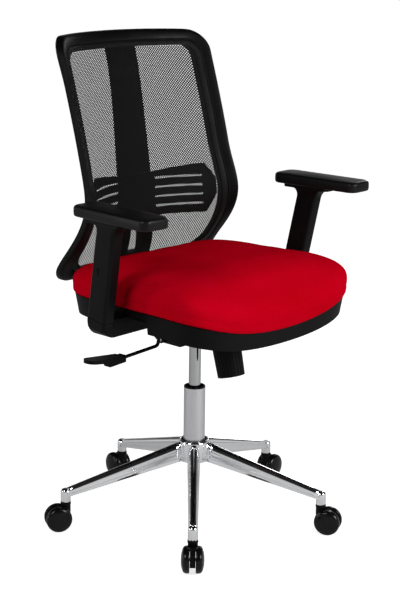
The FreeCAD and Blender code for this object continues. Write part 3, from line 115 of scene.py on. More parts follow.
floor_mesh = bpy.data.meshes.new("floor")
floor_mesh.from_pydata([(-70, -70, 0), (70, -70, 0), (70, 70, 0), (-70, 70, 0)], [], [(0, 1, 2, 3)])
floor = bpy.data.objects.new("floor", floor_mesh)
bpy.context.scene.collection.objects.link(floor)
floor_paint, tree, shader = new_material("pale_floor")
shader.inputs["Base Color"].default_value = (0.60, 0.60, 0.60, 1)
shader.inputs["Roughness"].default_value = 0.9
shader.inputs["Specular IOR Level"].default_value = 0.1
shader.inputs["Emission Color"].default_value = (1, 1, 1, 1)
seen, glossy = seen_rays(tree)
place = node(tree, "ShaderNodeTexCoord").outputs["Object"]
away = node(tree, "ShaderNodeVectorMath", {0: place}, operation="LENGTH")
paler = node(tree, "ShaderNodeMapRange", {0: away.outputs["Value"], 1: 0.8, 2: 2.6, 3: 0.78, 4: 0.90})
lift = node(tree, "ShaderNodeMix", {0: glossy, 2: paler.outputs[0], 3: 0.10}, data_type="FLOAT")
shine = node(tree, "ShaderNodeMath", {0: seen, 1: lift.outputs[0]}, operation="MULTIPLY")
tree.links.new(shine.outputs[0], shader.inputs["Emission Strength"])
floor_mesh.materials.append(floor_paint)


def lamp(name, place, size, power, aim=(0.0, 0.0, 0.6)):
    """A square area lamp at a place, facing an aim point."""
    data = bpy.data.lights.new(name, "AREA")
    data.shape = "RECTANGLE"
    data.size, data.size_y = size
    data.energy = power
    light = bpy.data.objects.new(name, data)
    bpy.context.scene.collection.objects.link(light)
    light.location = place
    light.rotation_euler = (Vector(aim) - Vector(place)).to_track_quat("-Z", "Y").to_euler()
    return light


lamp("key", (-2.8, -0.3, 2.3), (0.9, 0.9), 36)
lamp("fill", (0.6, -3.0, 1.75), (1.4, 1.0), 84)
lamp("strip_left", (-2.6, 1.8, 1.1), (0.35, 1.8), 14)
lamp("strip_right", (2.6, 1.0, 1.3), (0.35, 1.8), 10)


# ---- base -----------------------------------------------------------------------------
# Five hollow legs cast in one piece with the hub, polished and chromed all over. Polishing
# leaves the plating slightly wavy, and fine dust sits on it.
def object_place(tree):
    """The Object coordinates of a piece."""
    return node(tree, "ShaderNodeTexCoord").outputs["Object"]


def noise(tree, place, scale, detail=2.0, rough=0.5):
    """A noise pattern whose size is given as waves per metre."""
    return node(tree, "ShaderNodeTexNoise", {"Vector": place, "Scale": scale, "Detail": detail,
                                             "Roughness": rough}).outputs["Fac"]


def spread(tree, value, low, high, start=0.0, end=1.0):
    """A value mapped from start..end to low..high and held there."""
    return node(tree, "ShaderNodeMapRange", {0: value, 1: start, 2: end, 3: low, 4: high}).outputs[0]


def bump(tree, shader, height, distance, strength=1.0, under=None):
    """Surface relief of a real depth in metres; a second relief can lie under the first."""
    relief = node(tree, "ShaderNodeBump", {"Height": height, "Distance": distance, "Strength": strength})
    if under is not None:
        tree.links.new(under, relief.inputs["Normal"])
    tree.links.new(relief.outputs[0], shader.inputs["Normal"])
    return relief.outputs[0]


def reckon(tree, operation, first, second=0.5):
    """One step of arithmetic on shader values."""
    return node(tree, "ShaderNodeMath", {0: first, 1: second}, operation=operation).outputs[0]


def tint(tree, shader, value, first, second):
    """Base colour that goes from the first to the second with a value from 0 to 1."""
    ramp = node(tree, "ShaderNodeMix", {0: value, 6: (*first, 1), 7: (*second, 1)}, data_type="RGBA")
    tree.links.new(ramp.outputs[2], shader.inputs["Base Color"])


def roughen(tree, shader, value, low, high, start=0.0, end=1.0):
    """Roughness that goes from low to high while a value goes from start to end."""
    tree.links.new(spread(tree, value, low, high, start, end), shader.inputs["Roughness"])


def chrome_plate(name="chrome_plate", tone=1.0):
    """Mirror chrome: nearly white metal, darker by the tone, with faint waviness and a dusty roughness."""
    material, tree, shader = new_material(name)
    place = object_place(tree)
    dust = noise(tree, place, 45, 4)
    dull, bright = tone * np.array([(0.80, 0.81, 0.83), (0.90, 0.905, 0.915)])
    tint(tree, shader, dust, dull, bright)
    shader.inputs["Metallic"].default_value = 1.0
    roughen(tree, shader, dust, 0.05, 0.12, 0.3, 0.7)
    bump(tree, shader, noise(tree, place, 22, 1), 0.0004, 0.6)
    return material


def dress(material, *names):
    """Puts a material on CAD nodes whose shape stays."""
    for name in names:
        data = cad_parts[name].data
        data.materials.clear()
        data.materials.append(material)
        data.update()


def smooth_step(value, start, end):
    """0 before start, 1 after end, and the cubic 3s^2 - 2s^3 between them."""
    share = np.clip((value - start) / (end - start), 0.0, 1.0)
    return share * share * (3.0 - 2.0 * share)


def grid_mesh(name, points, wrap_rows=False, wrap_columns=False, close_first=False, close_last=False, uv=None):
    """A mesh from a rows x columns x 3 array; a wrapped direction joins its last line to its first,
    and a closed end is filled with triangles to the middle of its line."""
    rows, columns = points.shape[:2]
    index = np.arange(rows * columns).reshape(rows, columns)
    low = index if wrap_rows else index[:-1]
    high = np.roll(index, -1, 0) if wrap_rows else index[1:]
    if wrap_columns:
        a, b, c, d = low, np.roll(low, -1, 1), np.roll(high, -1, 1), high
    else:
        a, b, c, d = low[:, :-1], low[:, 1:], high[:, 1:], high[:, :-1]
    quads = np.stack([a, b, c, d], -1).reshape(-1, 4)
    flat = points.reshape(-1, 3)
    faces = quads.tolist()
    for wanted, line, flip in ((close_first, index[0], True), (close_last, index[-1], False)):
        if wanted:
            middle = len(flat)
            flat = np.vstack([flat, flat[line].mean(0)])
            after = np.roll(line, -1)
            ring = np.stack([line, after, np.full(len(line), middle)], -1)
            faces += (ring[:, ::-1] if flip else ring).tolist()
    data = bpy.data.meshes.new(name)
    data.from_pydata(flat.tolist(), [], faces)
    data.polygons.foreach_set("use_smooth", np.ones(len(data.polygons), bool))
    if uv is not None:
        layer = data.uv_layers.new(name="UVMap")
        corner = np.empty(len(data.loops), np.int64)
        data.loops.foreach_get("vertex_index", corner)
        spots = uv.reshape(-1, 2)
        spots = np.vstack([spots, np.tile(spots.mean(0), (len(flat) - len(spots), 1))])
        layer.data.foreach_set("uv", spots[corner].astype(np.float32).ravel())
    data.update()
    if (wrap_rows or close_first and close_last) and wrap_columns:
        shell = bmesh.new()
        shell.from_mesh(data)
        bmesh.ops.recalc_face_normals(shell, faces=shell.faces)
        shell.to_mesh(data)
        shell.free()
    piece = bpy.data.objects.new(name, data)
    bpy.context.scene.collection.objects.link(piece)
    return piece


def one_piece(name, shells):
    """Several closed shells gathered in one mesh."""
    whole = bmesh.new()
    for shell in shells:
        whole.from_mesh(shell.data)
        bpy.data.objects.remove(shell)
    data = bpy.data.meshes.new(name)
    whole.to_mesh(data)
    whole.free()
    piece = bpy.data.objects.new(name, data)
    bpy.context.scene.collection.objects.link(piece)
    return piece


def capped_mesh(name, points):
    """A closed shell of rings, filled at both ends."""
    return grid_mesh(name, points, wrap_columns=True, close_first=True, close_last=True)


leg_angles = -46.0 + 72.0 * np.arange(5)
leg_turns = np.radians(leg_angles)
socket_circle = 0.308


def under_tip(turn):
    """The place on the floor under the socket of a leg."""
    return np.array([socket_circle * math.sin(turn), -socket_circle * math.cos(turn), 0.0])


def leg_points(turn):
    """Rows are sections from the hub to the tip. A section is a round arch on sides that lean in with
    the square of the height, its wall 2 mm thick and open below; all its sizes fall evenly along the leg."""
    reach = np.linspace(0.030, socket_circle, 15)
    share = (reach - reach[0]) / (reach[-1] - reach[0])
    wide, high, top = 0.0148 - 0.0045 * share, 0.044 - 0.025 * share, 0.1879 - 0.0879 * share
    crown = 0.026 - 0.0135 * share
    bend, climb = np.linspace(0, np.pi, 21)[1:-1], np.linspace(0, 1, 7)[None]
    arch_x, arch_z = np.cos(bend), np.sin(bend) ** 0.8

    def shape(inset):
        half, bow = (wide - inset)[:, None], (crown - inset)[:, None]
        peak, foot = (top - inset)[:, None], (top - high)[:, None]
        side = half * (1 - 0.12 * climb**2)
        side_z = foot + 0.0004 + (peak - bow - foot - 0.0004) * climb
        x = np.concatenate([half, side, half * 0.88 * arch_x, -side[:, ::-1], -half], 1)
        z = np.concatenate([foot, side_z, peak - bow * (1 - arch_z), side_z[:, ::-1], foot], 1)
        return x, z

    outer, inner = shape(0.0), shape(0.002)
    x = np.concatenate([outer[0], inner[0][:, ::-1]], 1)
    z = np.concatenate([outer[1], inner[1][:, ::-1]], 1)
    out = np.broadcast_to(reach[:, None], x.shape)
    sine, cosine = math.sin(turn), math.cos(turn)
    return np.stack([x * cosine + out * sine, x * sine - out * cosine, z], -1)


def turned_points(profile, columns=64):
    """A profile of radius and height in millimetres turned about Z."""
    radius, height = np.array(profile, float).T[:, :, None] / 1000
    angle = np.linspace(0, 2 * np.pi, columns, endpoint=False)[None]
    x, y = radius * np.cos(angle), radius * np.sin(angle)
    return np.stack([x, y, np.broadcast_to(height, x.shape)], -1)


def hub_points():
    """The hub's turned profile with three cast ribs between each two legs: bells 3 degrees wide."""
    points = turned_points([
        (25.4, 141.0), (34.6, 141.0), (35.6, 141.4), (36.0, 142.6), (36.0, 150.0), (36.0, 162.0), (36.0, 174.0),
        (36.0, 184.0), (35.5, 187.6), (34.2, 190.2), (32.9, 191.0), (31.6, 190.8), (30.6, 189.6), (28.4, 186.0),
        (27.0, 185.1), (25.4, 185.0)], 360)
    angle = np.linspace(0, 360, 360, endpoint=False) - 90.0
    ribs = (leg_angles[:, None] + 18.0 * np.arange(1, 4)).ravel() - 90.0
    apart = (angle[None] + 90.0 - ribs[:, None] + 180.0) % 360.0 - 180.0
    lobes = np.exp(-((apart / 3.0) ** 2)).sum(0)
    rise = smooth_step(points[..., 2], 0.1405, 0.143) * (1 - smooth_step(points[..., 2], 0.174, 0.186))
    grow = 1 + 0.055 * lobes[None] * rise
    points[..., :2] *= grow[..., None]
    return points


chrome = chrome_plate()
socket_profile = [(6.0, 68.6), (10.6, 68.6), (11.2, 69.0), (11.4, 70.0), (11.4, 86.0), (11.3, 91.0),
                  (10.6, 95.0), (8.8, 98.0), (5.6, 99.6), (1.5, 100.0)]
shells = [grid_mesh("hub", hub_points(), wrap_rows=True, wrap_columns=True)]
for turn in leg_turns:
    shells.append(capped_mesh("leg", leg_points(turn)))
    shells.append(capped_mesh("socket", turned_points(socket_profile, 40) + under_tip(turn)))
casting = one_piece("base_casting", shells)
casting.data.materials.append(chrome)
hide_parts("base_star")
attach(casting, "base")

# ---- gas lift -------------------------------------------------------------------------
# A satin steel tube pressed in the hub, a plastic guide in its mouth, and the chromed
# cylinder of the gas spring that slides through the guide.
def satin_tube():
    """Drawn steel with lengthwise lines: noise stretched along Z drives roughness and tone."""
    material, tree, shader = new_material("satin_tube")
    place = object_place(tree)
    lengthwise = node(tree, "ShaderNodeMapping", {0: place, "Scale": (1.0, 1.0, 0.02)}).outputs[0]
    lines = noise(tree, lengthwise, 900, 3)
    tint(tree, shader, lines, (0.56, 0.56, 0.58), (0.74, 0.74, 0.76))
    shader.inputs["Metallic"].default_value = 1.0
    roughen(tree, shader, lines, 0.24, 0.42)
    bump(tree, shader, lines, 0.00003, 0.5)
    return material


def plain_steel():
    """Turned steel: grey metal with blotchy roughness."""
    material, tree, shader = new_material("plain_steel")
    place = object_place(tree)
    blotch = noise(tree, place, 120, 4)
    tint(tree, shader, blotch, (0.42, 0.42, 0.43), (0.62, 0.62, 0.63))
    shader.inputs["Metallic"].default_value = 1.0
    roughen(tree, shader, blotch, 0.22, 0.45)
    bump(tree, shader, noise(tree, place, 1500, 2), 0.00004, 0.5)
    return material


def cells(tree, place, scale):
    """Rounded cells, as many per metre as the scale says."""
    return node(tree, "ShaderNodeTexVoronoi", {"Vector": place, "Scale": scale}, feature="SMOOTH_F1").outputs[0]


def black_moulding(name, tone, rough, grain_depth, grain_size=1400.0, gloss=0.08):
    """Injection-moulded black plastic: eroded grain as relief, and gloss that varies in patches."""
    material, tree, shader = new_material(name)
    place = object_place(tree)
    patches = noise(tree, place, 14, 3)
    grain = cells(tree, place, grain_size)
    shade = tuple(part * 1.7 for part in tone)
    tint(tree, shader, patches, tone, shade)
    roughen(tree, shader, patches, rough - 0.05, rough + 0.07, 0.3, 0.7)
    shader.inputs["Specular IOR Level"].default_value = gloss
    bump(tree, shader, grain, grain_depth, 0.6)
    return material


steel = plain_steel()
moulding = black_moulding("black_moulding", (0.0026, 0.0025, 0.0027), 0.40, 0.00008)
dress(satin_tube(), "column_tube")
dress(chrome_plate("hard_chrome", 0.55), "gas_cylinder")
dress(moulding, "column_bushing", "hub_collar")
dress(steel, "piston_rod", "thrust_bearing", "rod_clip", "release_button")

# ---- casters --------------------------------------------------------------------------
# Twin nylon wheels, domed and glossy with scuffed treads, on a steel axle under a moulded
# black hood. A black collar fills the way from the hood up to the socket of the leg.
def nylon_wheel():
    """Glossy nylon, scuffed where it rolls: roughness rises with a coarse noise."""
    material, tree, shader = new_material("nylon_wheel")
    place = object_place(tree)
    scuffs = noise(tree, place, 160, 5, 0.65)
    tint(tree, shader, scuffs, (0.0016, 0.0016, 0.0017), (0.0045, 0.0045, 0.0047))
    roughen(tree, shader, scuffs, 0.14, 0.36, 0.35, 0.75)
    shader.inputs["Specular IOR Level"].default_value = 0.22
    bump(tree, shader, noise(tree, place, 500, 3), 0.00005, 0.5)
    return material


def wheel_points(number, side, turn):
    """A domed wheel turned about its axle, which lies square to the leg: a face that bulges as a power of
    the radius, a round tread and a hollow back. Its pair's middle is that of the two CAD wheels' boxes."""
    left, right = (np.mean(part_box("caster_wheel_" + each + "_" + number), 0) for each in ("left", "right"))
    pair = (left + right) / 2
    axle = np.array([math.cos(turn), math.sin(turn), 0.0])
    axle *= np.sign(axle @ (left - right)) * (1 if side == "left" else -1)
    upright = np.array([0, 0, 1.0])
    ahead = np.cross(axle, upright)
    face = np.array([1.0, 6.0, 12.0, 17.0, 21.0, 24.0, 26.0])
    profile = [(radius, 25.6 - 5.6 * (radius / 28.0) ** 2.4) for radius in face]
    profile += [(27.6, 19.4), (28.8, 18.0), (29.6, 16.2), (30.0, 13.6), (30.0, 9.6), (29.6, 7.9), (28.8, 7.0)]
    profile += [(27.4, 6.8), (26.0, 6.9), (25.2, 7.6), (25.0, 9.5), (24.6, 17.0), (23.0, 18.4)]
    profile += [(9.0, 18.4), (7.0, 17.6), (6.5, 16.0), (6.5, 7.4), (6.2, 6.8), (4.2, 6.75)]
    radius, out = np.array(profile).T[:, :, None] / 1000
    angle = np.linspace(0, 2 * np.pi, 56, endpoint=False)[None]
    across = (radius * np.cos(angle))[..., None] * ahead + (radius * np.sin(angle))[..., None] * upright
    return pair + across + np.broadcast_to(out[..., None], across.shape[:2] + (1,)) * axle


wheel_nylon = nylon_wheel()
neck_profile = [(5.9, 44.0), (10.6, 44.0), (11.1, 44.5), (11.2, 46.0), (11.2, 60.0), (11.6, 62.0), (11.9, 63.0),
                (11.9, 67.2), (11.5, 68.2), (10.0, 68.4), (5.9, 68.4)]
for number, turn in zip("12345", leg_turns):
    for side in ("left", "right"):
        wheel = capped_mesh("wheel_" + side + "_" + number, wheel_points(number, side, turn))
        wheel.data.materials.append(wheel_nylon)
        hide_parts("caster_wheel_" + side + "_" + number)
        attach(wheel, "wheel_" + side + "_" + number)
    neck = turned_points(neck_profile, 40) + under_tip(turn)
    collar = grid_mesh("caster_neck_" + number, neck, wrap_rows=True, wrap_columns=True)
    collar.data.materials.append(moulding)
    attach(collar, "caster_" + number)
    dress(moulding, "caster_hood_" + number)
    dress(steel, "caster_stem_and_axle_" + number)

# ---- mechanism ------------------------------------------------------------------------
# A pressed steel housing and carrier in black powder coat, a cranked lever rod, and a
# long fluted knob. Powder coat has a fine orange-peel surface.
def powder_coat():
    """Black powder coat: orange peel from two noises, half-gloss."""
    material, tree, shader = new_material("powder_coat")
    place = object_place(tree)
    peel = noise(tree, place, 700, 2)
    tint(tree, shader, noise(tree, place, 30, 3), (0.0024, 0.0024, 0.0026), (0.005, 0.005, 0.0053))
    roughen(tree, shader, peel, 0.28, 0.44)
    shader.inputs["Specular IOR Level"].default_value = 0.09
    bump(tree, shader, peel, 0.00012, 0.6)
    return material


coat = powder_coat()
handle_plastic = black_moulding("handle_plastic", (0.0026, 0.0026, 0.0027), 0.46, 0.0001, 1000.0)
dress(coat, "mechanism_housing", "back_carrier", "seat_plate", "lever_rod", "lever_block")
dress(steel, "main_pivot_pin", "front_pivot_pin", "tension_spring", "tension_screw")
dress(steel, "seat_screws", "carrier_bolts")
dress(handle_plastic, "tension_knob", "lever_handle")

# ---- seat shell -----------------------------------------------------------------------
# A black polypropylene tray round the foot of the cushion, with the plywood board inside.
def plywood():
    """Birch ply: stretched noise as grain in warm browns."""
    material, tree, shader = new_material("plywood")
    place = node(tree, "ShaderNodeMapping", {0: object_place(tree), "Scale": (1.0, 0.06, 6.0)}).outputs[0]
    grain = noise(tree, place, 160, 5)
    tint(tree, shader, grain, (0.42, 0.28, 0.15), (0.62, 0.46, 0.29))
    shader.inputs["Roughness"].default_value = 0.7
    bump(tree, shader, grain, 0.0002, 0.5)
    return material


shell_plastic = black_moulding("shell_plastic", (0.0028, 0.0027, 0.0028), 0.40, 0.00006, gloss=0.06)
dress(shell_plastic, "seat_shell")
dress(plywood(), "seat_board")


# ---- cushion --------------------------------------------------------------------------
# Moulded foam in a tight red woven cover. It swells over the shell's rim, is crowned on
# top and rolls down over the front edge; the cover is pulled under the rim all round.
seat_half = 0.260
seat_middle = -0.130
foam_foot = 0.5565


def seat_plan(angle, offset):
    """Plan of the seat at an angle: a superellipse, power 4.8 in front and 6.9 behind, moved out by offset."""
    side, ahead = np.cos(angle), np.sin(angle)
    power = np.where(ahead > 0, 6.9, 4.8)
    reach = np.where(ahead > 0, 0.308, 0.141)
    size = (np.abs(side) ** power + np.abs(ahead) ** power) ** (-1 / power)
    return (seat_half + offset) * size * side, seat_middle + (reach + offset) * size * ahead


def front_fall(x, y, drop):
    """Height lost in front of y = -0.123: an arc that falls by drop at the front, less at the sides."""
    run = 0.271 - 0.123
    radius = (run * run + drop * drop) / (2 * drop)
    ahead = np.clip(-0.123 - y, 0.0, radius * 0.98)
    return (radius - np.sqrt(radius**2 - ahead**2)) * (1 - 0.86 * (x / seat_half) ** 2)


def cushion_lift(y, rise):
    """The front half is filled higher, by up to 10 mm at the crown."""
    return 0.010 * smooth_step(0.120 - y, 0.0, 0.280) * np.clip(rise, 0, 1) / 0.072


def crown_z(x, y):
    """Height of the dome: it sags with powers 2.2 and 4.4 of the way to its sides and falls in front."""
    to_rear = np.clip(y - seat_middle, 0, 1) / 0.308
    to_front = np.clip(seat_middle - y, 0, 1) / 0.141
    sag = 0.018 * ((np.abs(x) / seat_half) ** 2.2 + to_rear**4.4 + to_front**4.4 * (x / seat_half) ** 2)
    return foam_foot + 0.072 - sag + cushion_lift(y, 0.072) - front_fall(x, y, 0.058)


def cushion_points(columns=220):
    """Rows run from the middle of the underside out over the rim, up the bulge and in to the crown's middle.
    The bulge's marks give how far it stands out and how high, at a share of the way up."""
    angle = np.linspace(0, 2 * np.pi, columns, endpoint=False)
    rows = []
    for share in (0.3, 0.6, 0.85, 0.96):
        x, y = seat_plan(angle, -0.004)
        x, y = x * share, seat_middle + (y - seat_middle) * share
        rows.append(np.stack([x, y, foam_foot + 0.001 - front_fall(x, y, 0.0465)], -1))
    way = np.linspace(0, 1, 26)
    marks = [0, .08, .2, .36, .52, .68, .82, .92, 1]
    offset = np.interp(way, marks, [-.0035, .0010, .0048, .0078, .0086, .0064, .0002, -.0080, -.0180])
    rise = np.interp(way, marks, [.0010, .0022, .0080, .0170, .0270, .0370, .0450, .0500, .0535])
    kernel = np.hanning(7) / np.hanning(7).sum()
    offset[3:-3], rise[3:-3] = np.convolve(offset, kernel, "valid"), np.convolve(rise, kernel, "valid")
    for out, up in zip(offset, rise):
        x, y = seat_plan(angle, out)
        z = foam_foot + up + cushion_lift(y, up) - front_fall(x, y, 0.0465)
        rows.append(np.stack([x, y, z], -1))
    edge_x, edge_y = seat_plan(angle, -0.018)
    edge_z = rows[-1][:, 2]
    short = crown_z(edge_x, edge_y) - edge_z
    for share in np.linspace(0.96, 0.03, 28):
        x, y = edge_x * share, seat_middle + (edge_y - seat_middle) * share
        z = crown_z(x, y) - 0.002 - (short - 0.002) * smooth_step(share, 0.62, 1.0)
        rows.append(np.stack([x, y, z], -1))
    return np.stack(rows)


def vertex_places(data):
    """The vertices of a mesh as rows of x, y, z."""
    places = np.empty(len(data.vertices) * 3, np.float32)
    data.vertices.foreach_get("co", places)
    return places.reshape(-1, 3).astype(float)


def swell(piece, voxel, pressure, cap):
    """Blows the cover up like cloth round foam. A copy gets an even remesh and twenty frames of cloth with
    inner pressure and no gravity. Each point of the piece then moves by the mean way of the copy's points
    near it, weighted by a bell curve of 8 mm, held to the cap, and to nothing at the rim."""
    scene = bpy.context.scene
    copy = bpy.data.objects.new("swelling", piece.data.copy())
    scene.collection.objects.link(copy)
    bpy.context.view_layer.objects.active = copy
    even = copy.modifiers.new("even", "REMESH")
    even.mode, even.voxel_size = "VOXEL", voxel
    bpy.ops.object.modifier_apply(modifier="even")
    start = vertex_places(copy.data)
    cloth = copy.modifiers.new("cloth", "CLOTH")
    cloth.settings.quality = 6
    cloth.settings.mass = 0.3
    cloth.settings.tension_stiffness = cloth.settings.compression_stiffness = 25
    cloth.settings.use_pressure = True
    cloth.settings.uniform_pressure_force = pressure
    cloth.settings.effector_weights.gravity = 0
    cloth.point_cache.frame_start, cloth.point_cache.frame_end = 1, 20
    for count in range(1, 21):
        scene.frame_set(count)
    swollen = copy.evaluated_get(bpy.context.evaluated_depsgraph_get())
    way = vertex_places(swollen.to_mesh()) - start
    swollen.to_mesh_clear()
    scene.frame_set(1)
    bpy.data.objects.remove(copy)
    length = np.linalg.norm(way, axis=1, keepdims=True)
    way *= np.minimum(1.0, cap / np.maximum(length, 1e-6))
    points = vertex_places(piece.data)
    moved = np.empty_like(points)
    for part in np.array_split(np.arange(len(points)), 40):
        apart = ((points[part, None] - start[None]) ** 2).sum(-1)
        weight = np.exp(-apart / (2 * 0.008**2)) + 1e-12
        moved[part] = weight @ way / weight.sum(1, keepdims=True)
    over_rim = points[:, 2] - foam_foot + front_fall(points[:, 0], points[:, 1], 0.0465)
    points += moved * smooth_step(over_rim, 0.002, 0.020)[:, None]
    piece.data.vertices.foreach_set("co", points.astype(np.float32).ravel())
    piece.data.update()


def red_cloth():
    """Fine plain-weave cloth: two crossed wave patterns 0.9 mm apart as relief and tone."""
    material, tree, shader = new_material("red_cloth")
    place = object_place(tree)
    yarns = {"Vector": place, "Scale": 260.0, "Distortion": 1.0, "Detail": 2.0, "Detail Scale": 3.0}
    weft = node(tree, "ShaderNodeTexWave", yarns, bands_direction="X").outputs["Fac"]
    warp = node(tree, "ShaderNodeTexWave", yarns, bands_direction="Y").outputs["Fac"]
    weave = reckon(tree, "MULTIPLY", weft, warp)
    threads = reckon(tree, "MULTIPLY", weave, 0.35)
    cloudy = spread(tree, noise(tree, place, 9, 4), 0.0, 0.6, 0.3, 0.7)
    shade = reckon(tree, "ADD", threads, cloudy)
    tint(tree, shader, shade, (0.42, 0.0003, 0.006), (0.52, 0.0006, 0.013))
    shader.inputs["Roughness"].default_value = 0.62
    shader.inputs["Specular IOR Level"].default_value = 0.0
    shader.inputs["Specular Tint"].default_value = (1.0, 0.10, 0.18, 1)
    bump(tree, shader, weave, 0.00025, 0.5)
    return material


cushion = capped_mesh("cushion_cover", cushion_points())
cushion.data.materials.append(red_cloth())
swell(cushion, 0.006, 4.0, 0.006)
fine = cushion.modifiers.new("fine", "SUBSURF")
fine.levels = fine.render_levels = 1
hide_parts("seat_cushion")
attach(cushion, "seat")

# ---- armrests -------------------------------------------------------------------------
# A moulded bracket under the seat carries a plastic post that slides on its blade and flares
# into a neck; on top lie a plate and a soft polyurethane pad with rounded edges.
soft_pad = black_moulding("soft_pad", (0.0035, 0.0034, 0.0035), 0.34, 0.00012, 900.0, gloss=0.16)


def rounded_rings(wide, deep, radius, per_corner=7):
    """Rounded rectangles as rows of x, y points: wide, deep and radius hold half sizes per row."""
    quarter = np.linspace(0, np.pi / 2, per_corner)
    turn = np.concatenate([quarter + corner * np.pi / 2 for corner in range(4)])
    side_x = np.repeat([1, -1, -1, 1], per_corner)
    side_y = np.repeat([1, 1, -1, -1], per_corner)
    wide, deep, radius = (np.asarray(part, float)[:, None] for part in (wide, deep, radius))
    return side_x * (wide - radius) + radius * np.cos(turn), side_y * (deep - radius) + radius * np.sin(turn)


def turned_about(vector, axis, degrees):
    """A vector turned about a coordinate axis."""
    return np.array(Matrix.Rotation(math.radians(degrees), 3, axis) @ Vector(vector))


post_foot = np.array([0.313, -0.022, 0.540])
square_axes = ((1, 0, 0), (0, 1, 0), (0, 0, 1))
post_axes = [turned_about(turned_about(base, "X", 11.0), "Y", 2.4) for base in square_axes]
post_length = (0.755 - post_foot[2]) / post_axes[2][2]
post_top = post_foot + post_axes[2] * post_length
level_axes = [turned_about(base, "Z", 3.0) for base in square_axes[:2]]


def post_points():
    """Rows run up the post: an inner lip, a rounded foot, the straight bar and a neck that flares as a
    quarter ellipse; the sections turn from square to the post to level under the plate."""
    flare = np.linspace(0.0, 1.0, 14)
    place = np.concatenate([[0.0006, 0.0006, 0.0012, 0.0030], np.linspace(0.012, post_length - 0.026, 8),
                            post_length - 0.024 * (1 - flare[1:])])
    grown = np.concatenate([np.zeros(12), 1 - np.sqrt(1 - (flare[1:] * 0.985) ** 2)])
    inset = np.concatenate([[0.003, 0.0008, 0.0002], np.zeros(len(place) - 3)])
    across, along = rounded_rings(0.0155 - inset + 0.007 * grown, 0.0275 - inset + 0.023 * grown,
                                  0.0065 - inset + 0.004 * grown)
    share = smooth_step(place, post_length - 0.060, post_length - 0.012)[:, None, None]
    first = post_axes[0] * (1 - share) + level_axes[0] * share
    second = post_axes[1] * (1 - share) + level_axes[1] * share
    centre = post_foot + post_axes[2] * place[:, None, None]
    return centre + across[..., None] * first + along[..., None] * second


def pad_points():
    """Rows of half width, half length, corner and height run from the groove's ceiling down to the underside,
    out, round the edge and up to a low crown."""
    low, thick, low_round, top_round = 0.762 + 0.00035, 0.025, 0.0042, 0.0068
    turn = np.linspace(0, np.pi / 2, 6)
    under = np.array([[0.0095, 0.0555, 0.001, 0.00535], [0.0095, 0.0555, 0.001, 0.0]])
    under = np.array([[0.003, 0.045, 0.001, 0.00535], *under])
    outer = [[0.030, 0.1115, 0.014, 0.0]]
    outer += [[0.0325 + low_round * math.sin(t), 0.1140 + low_round * math.sin(t), 0.0180,
               low_round * (1 - math.cos(t))] for t in turn]
    outer += [[0.0372, 0.1187, 0.0185, 0.0100], [0.0370, 0.1185, 0.0183, 0.0160]]
    outer += [[0.0300 + top_round * math.cos(t), 0.1115 + top_round * math.cos(t), 0.0180,
               thick - top_round + 0.0062 * math.sin(t)] for t in turn]
    inner = [[0.0300 * share, 0.1115 * share, 0.018 * share, thick - 0.0006 + 0.0018 * (1 - share**2)]
             for share in np.linspace(0.88, 0.06, 8)]
    rows = np.vstack([under, outer, inner])
    shift = np.concatenate([np.zeros(len(under)), np.full(len(outer) + len(inner), -0.030)])
    across, along = rounded_rings(rows[:, 0], rows[:, 1], rows[:, 2], 8)
    along = along + shift[:, None]
    level = np.broadcast_to((low + rows[:, 3])[:, None], across.shape)
    flat = post_top[:2] + across[..., None] * level_axes[0][:2] + along[..., None] * level_axes[1][:2]
    return np.concatenate([flat, level[..., None]], -1)


for side, mirror in (("left", 1.0), ("right", -1.0)):
    other_side = np.array([mirror, 1.0, 1.0])
    post = capped_mesh("arm_post_" + side, post_points() * other_side)
    post.data.materials.append(moulding)
    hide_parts("arm_sleeve_" + side)
    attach(post, "armrest_" + side)
    pad = capped_mesh("arm_cushion_" + side, pad_points() * other_side)
    pad.data.materials.append(soft_pad)
    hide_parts("arm_pad_" + side)
    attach(pad, "pad_" + side)
    dress(moulding, "arm_bracket_" + side, "arm_plate_" + side, "arm_button_" + side)

# ---- back -----------------------------------------------------------------------------
# A loop of black plastic with a net stretched across it, a spine behind it that parts
# into two legs, and a slotted lumbar support whose slider runs in the spine's slit.
dress(moulding, "back_spine")
plate_foot = 0.688
slot_inner, slot_outer = 0.057, 0.169
slot_high = 0.005
slot_feet = 0.7075 + 0.022 * np.arange(4) - plate_foot


def spine_face(z):
    """Depth of the lumbar plate's face at its middle: the spine leans back with height."""
    return 0.195 + 0.076 * (z - 0.745)


def lumbar_points():
    """A plate that lies flat on the spine and bends forward with the power 2.4 of x. Its ends are cut back
    in a slant above and below, and its top and bottom slope a little towards the spine."""
    share = np.linspace(-1, 1, 9)
    wing = np.linspace(slot_inner, slot_outer, 20)
    fixed = np.concatenate([-wing[::-1], share[1:-1] * slot_inner, wing])
    levels = np.sort(np.concatenate([slot_feet, slot_feet + slot_high, [0, 0.046, 0.083, 0.1045, 0.117]]))
    end = np.interp(levels, [0, 0.004, 0.046, 0.083, 0.115, 0.117],
                    [0.175, 0.178, 0.1965, 0.1950, 0.177, 0.174])
    tip = np.linspace(0, 1, 5)[1:]
    left = -slot_outer - (end[:, None] - slot_outer) * tip[::-1]
    right = slot_outer + (end[:, None] - slot_outer) * tip
    x = np.concatenate([left, np.broadcast_to(fixed, (len(levels), len(fixed))), right], 1)
    slope = 0.0135 * np.clip(1 - (np.abs(x) - 0.052) / 0.115, 0, 1)
    z = plate_foot + levels[:, None] - slope * smooth_step(levels, 0.098, 0.117)[:, None]
    y = spine_face(z) - 0.051 * (np.abs(x) / 0.170) ** 2.4
    return np.stack([x, y, z], -1), levels


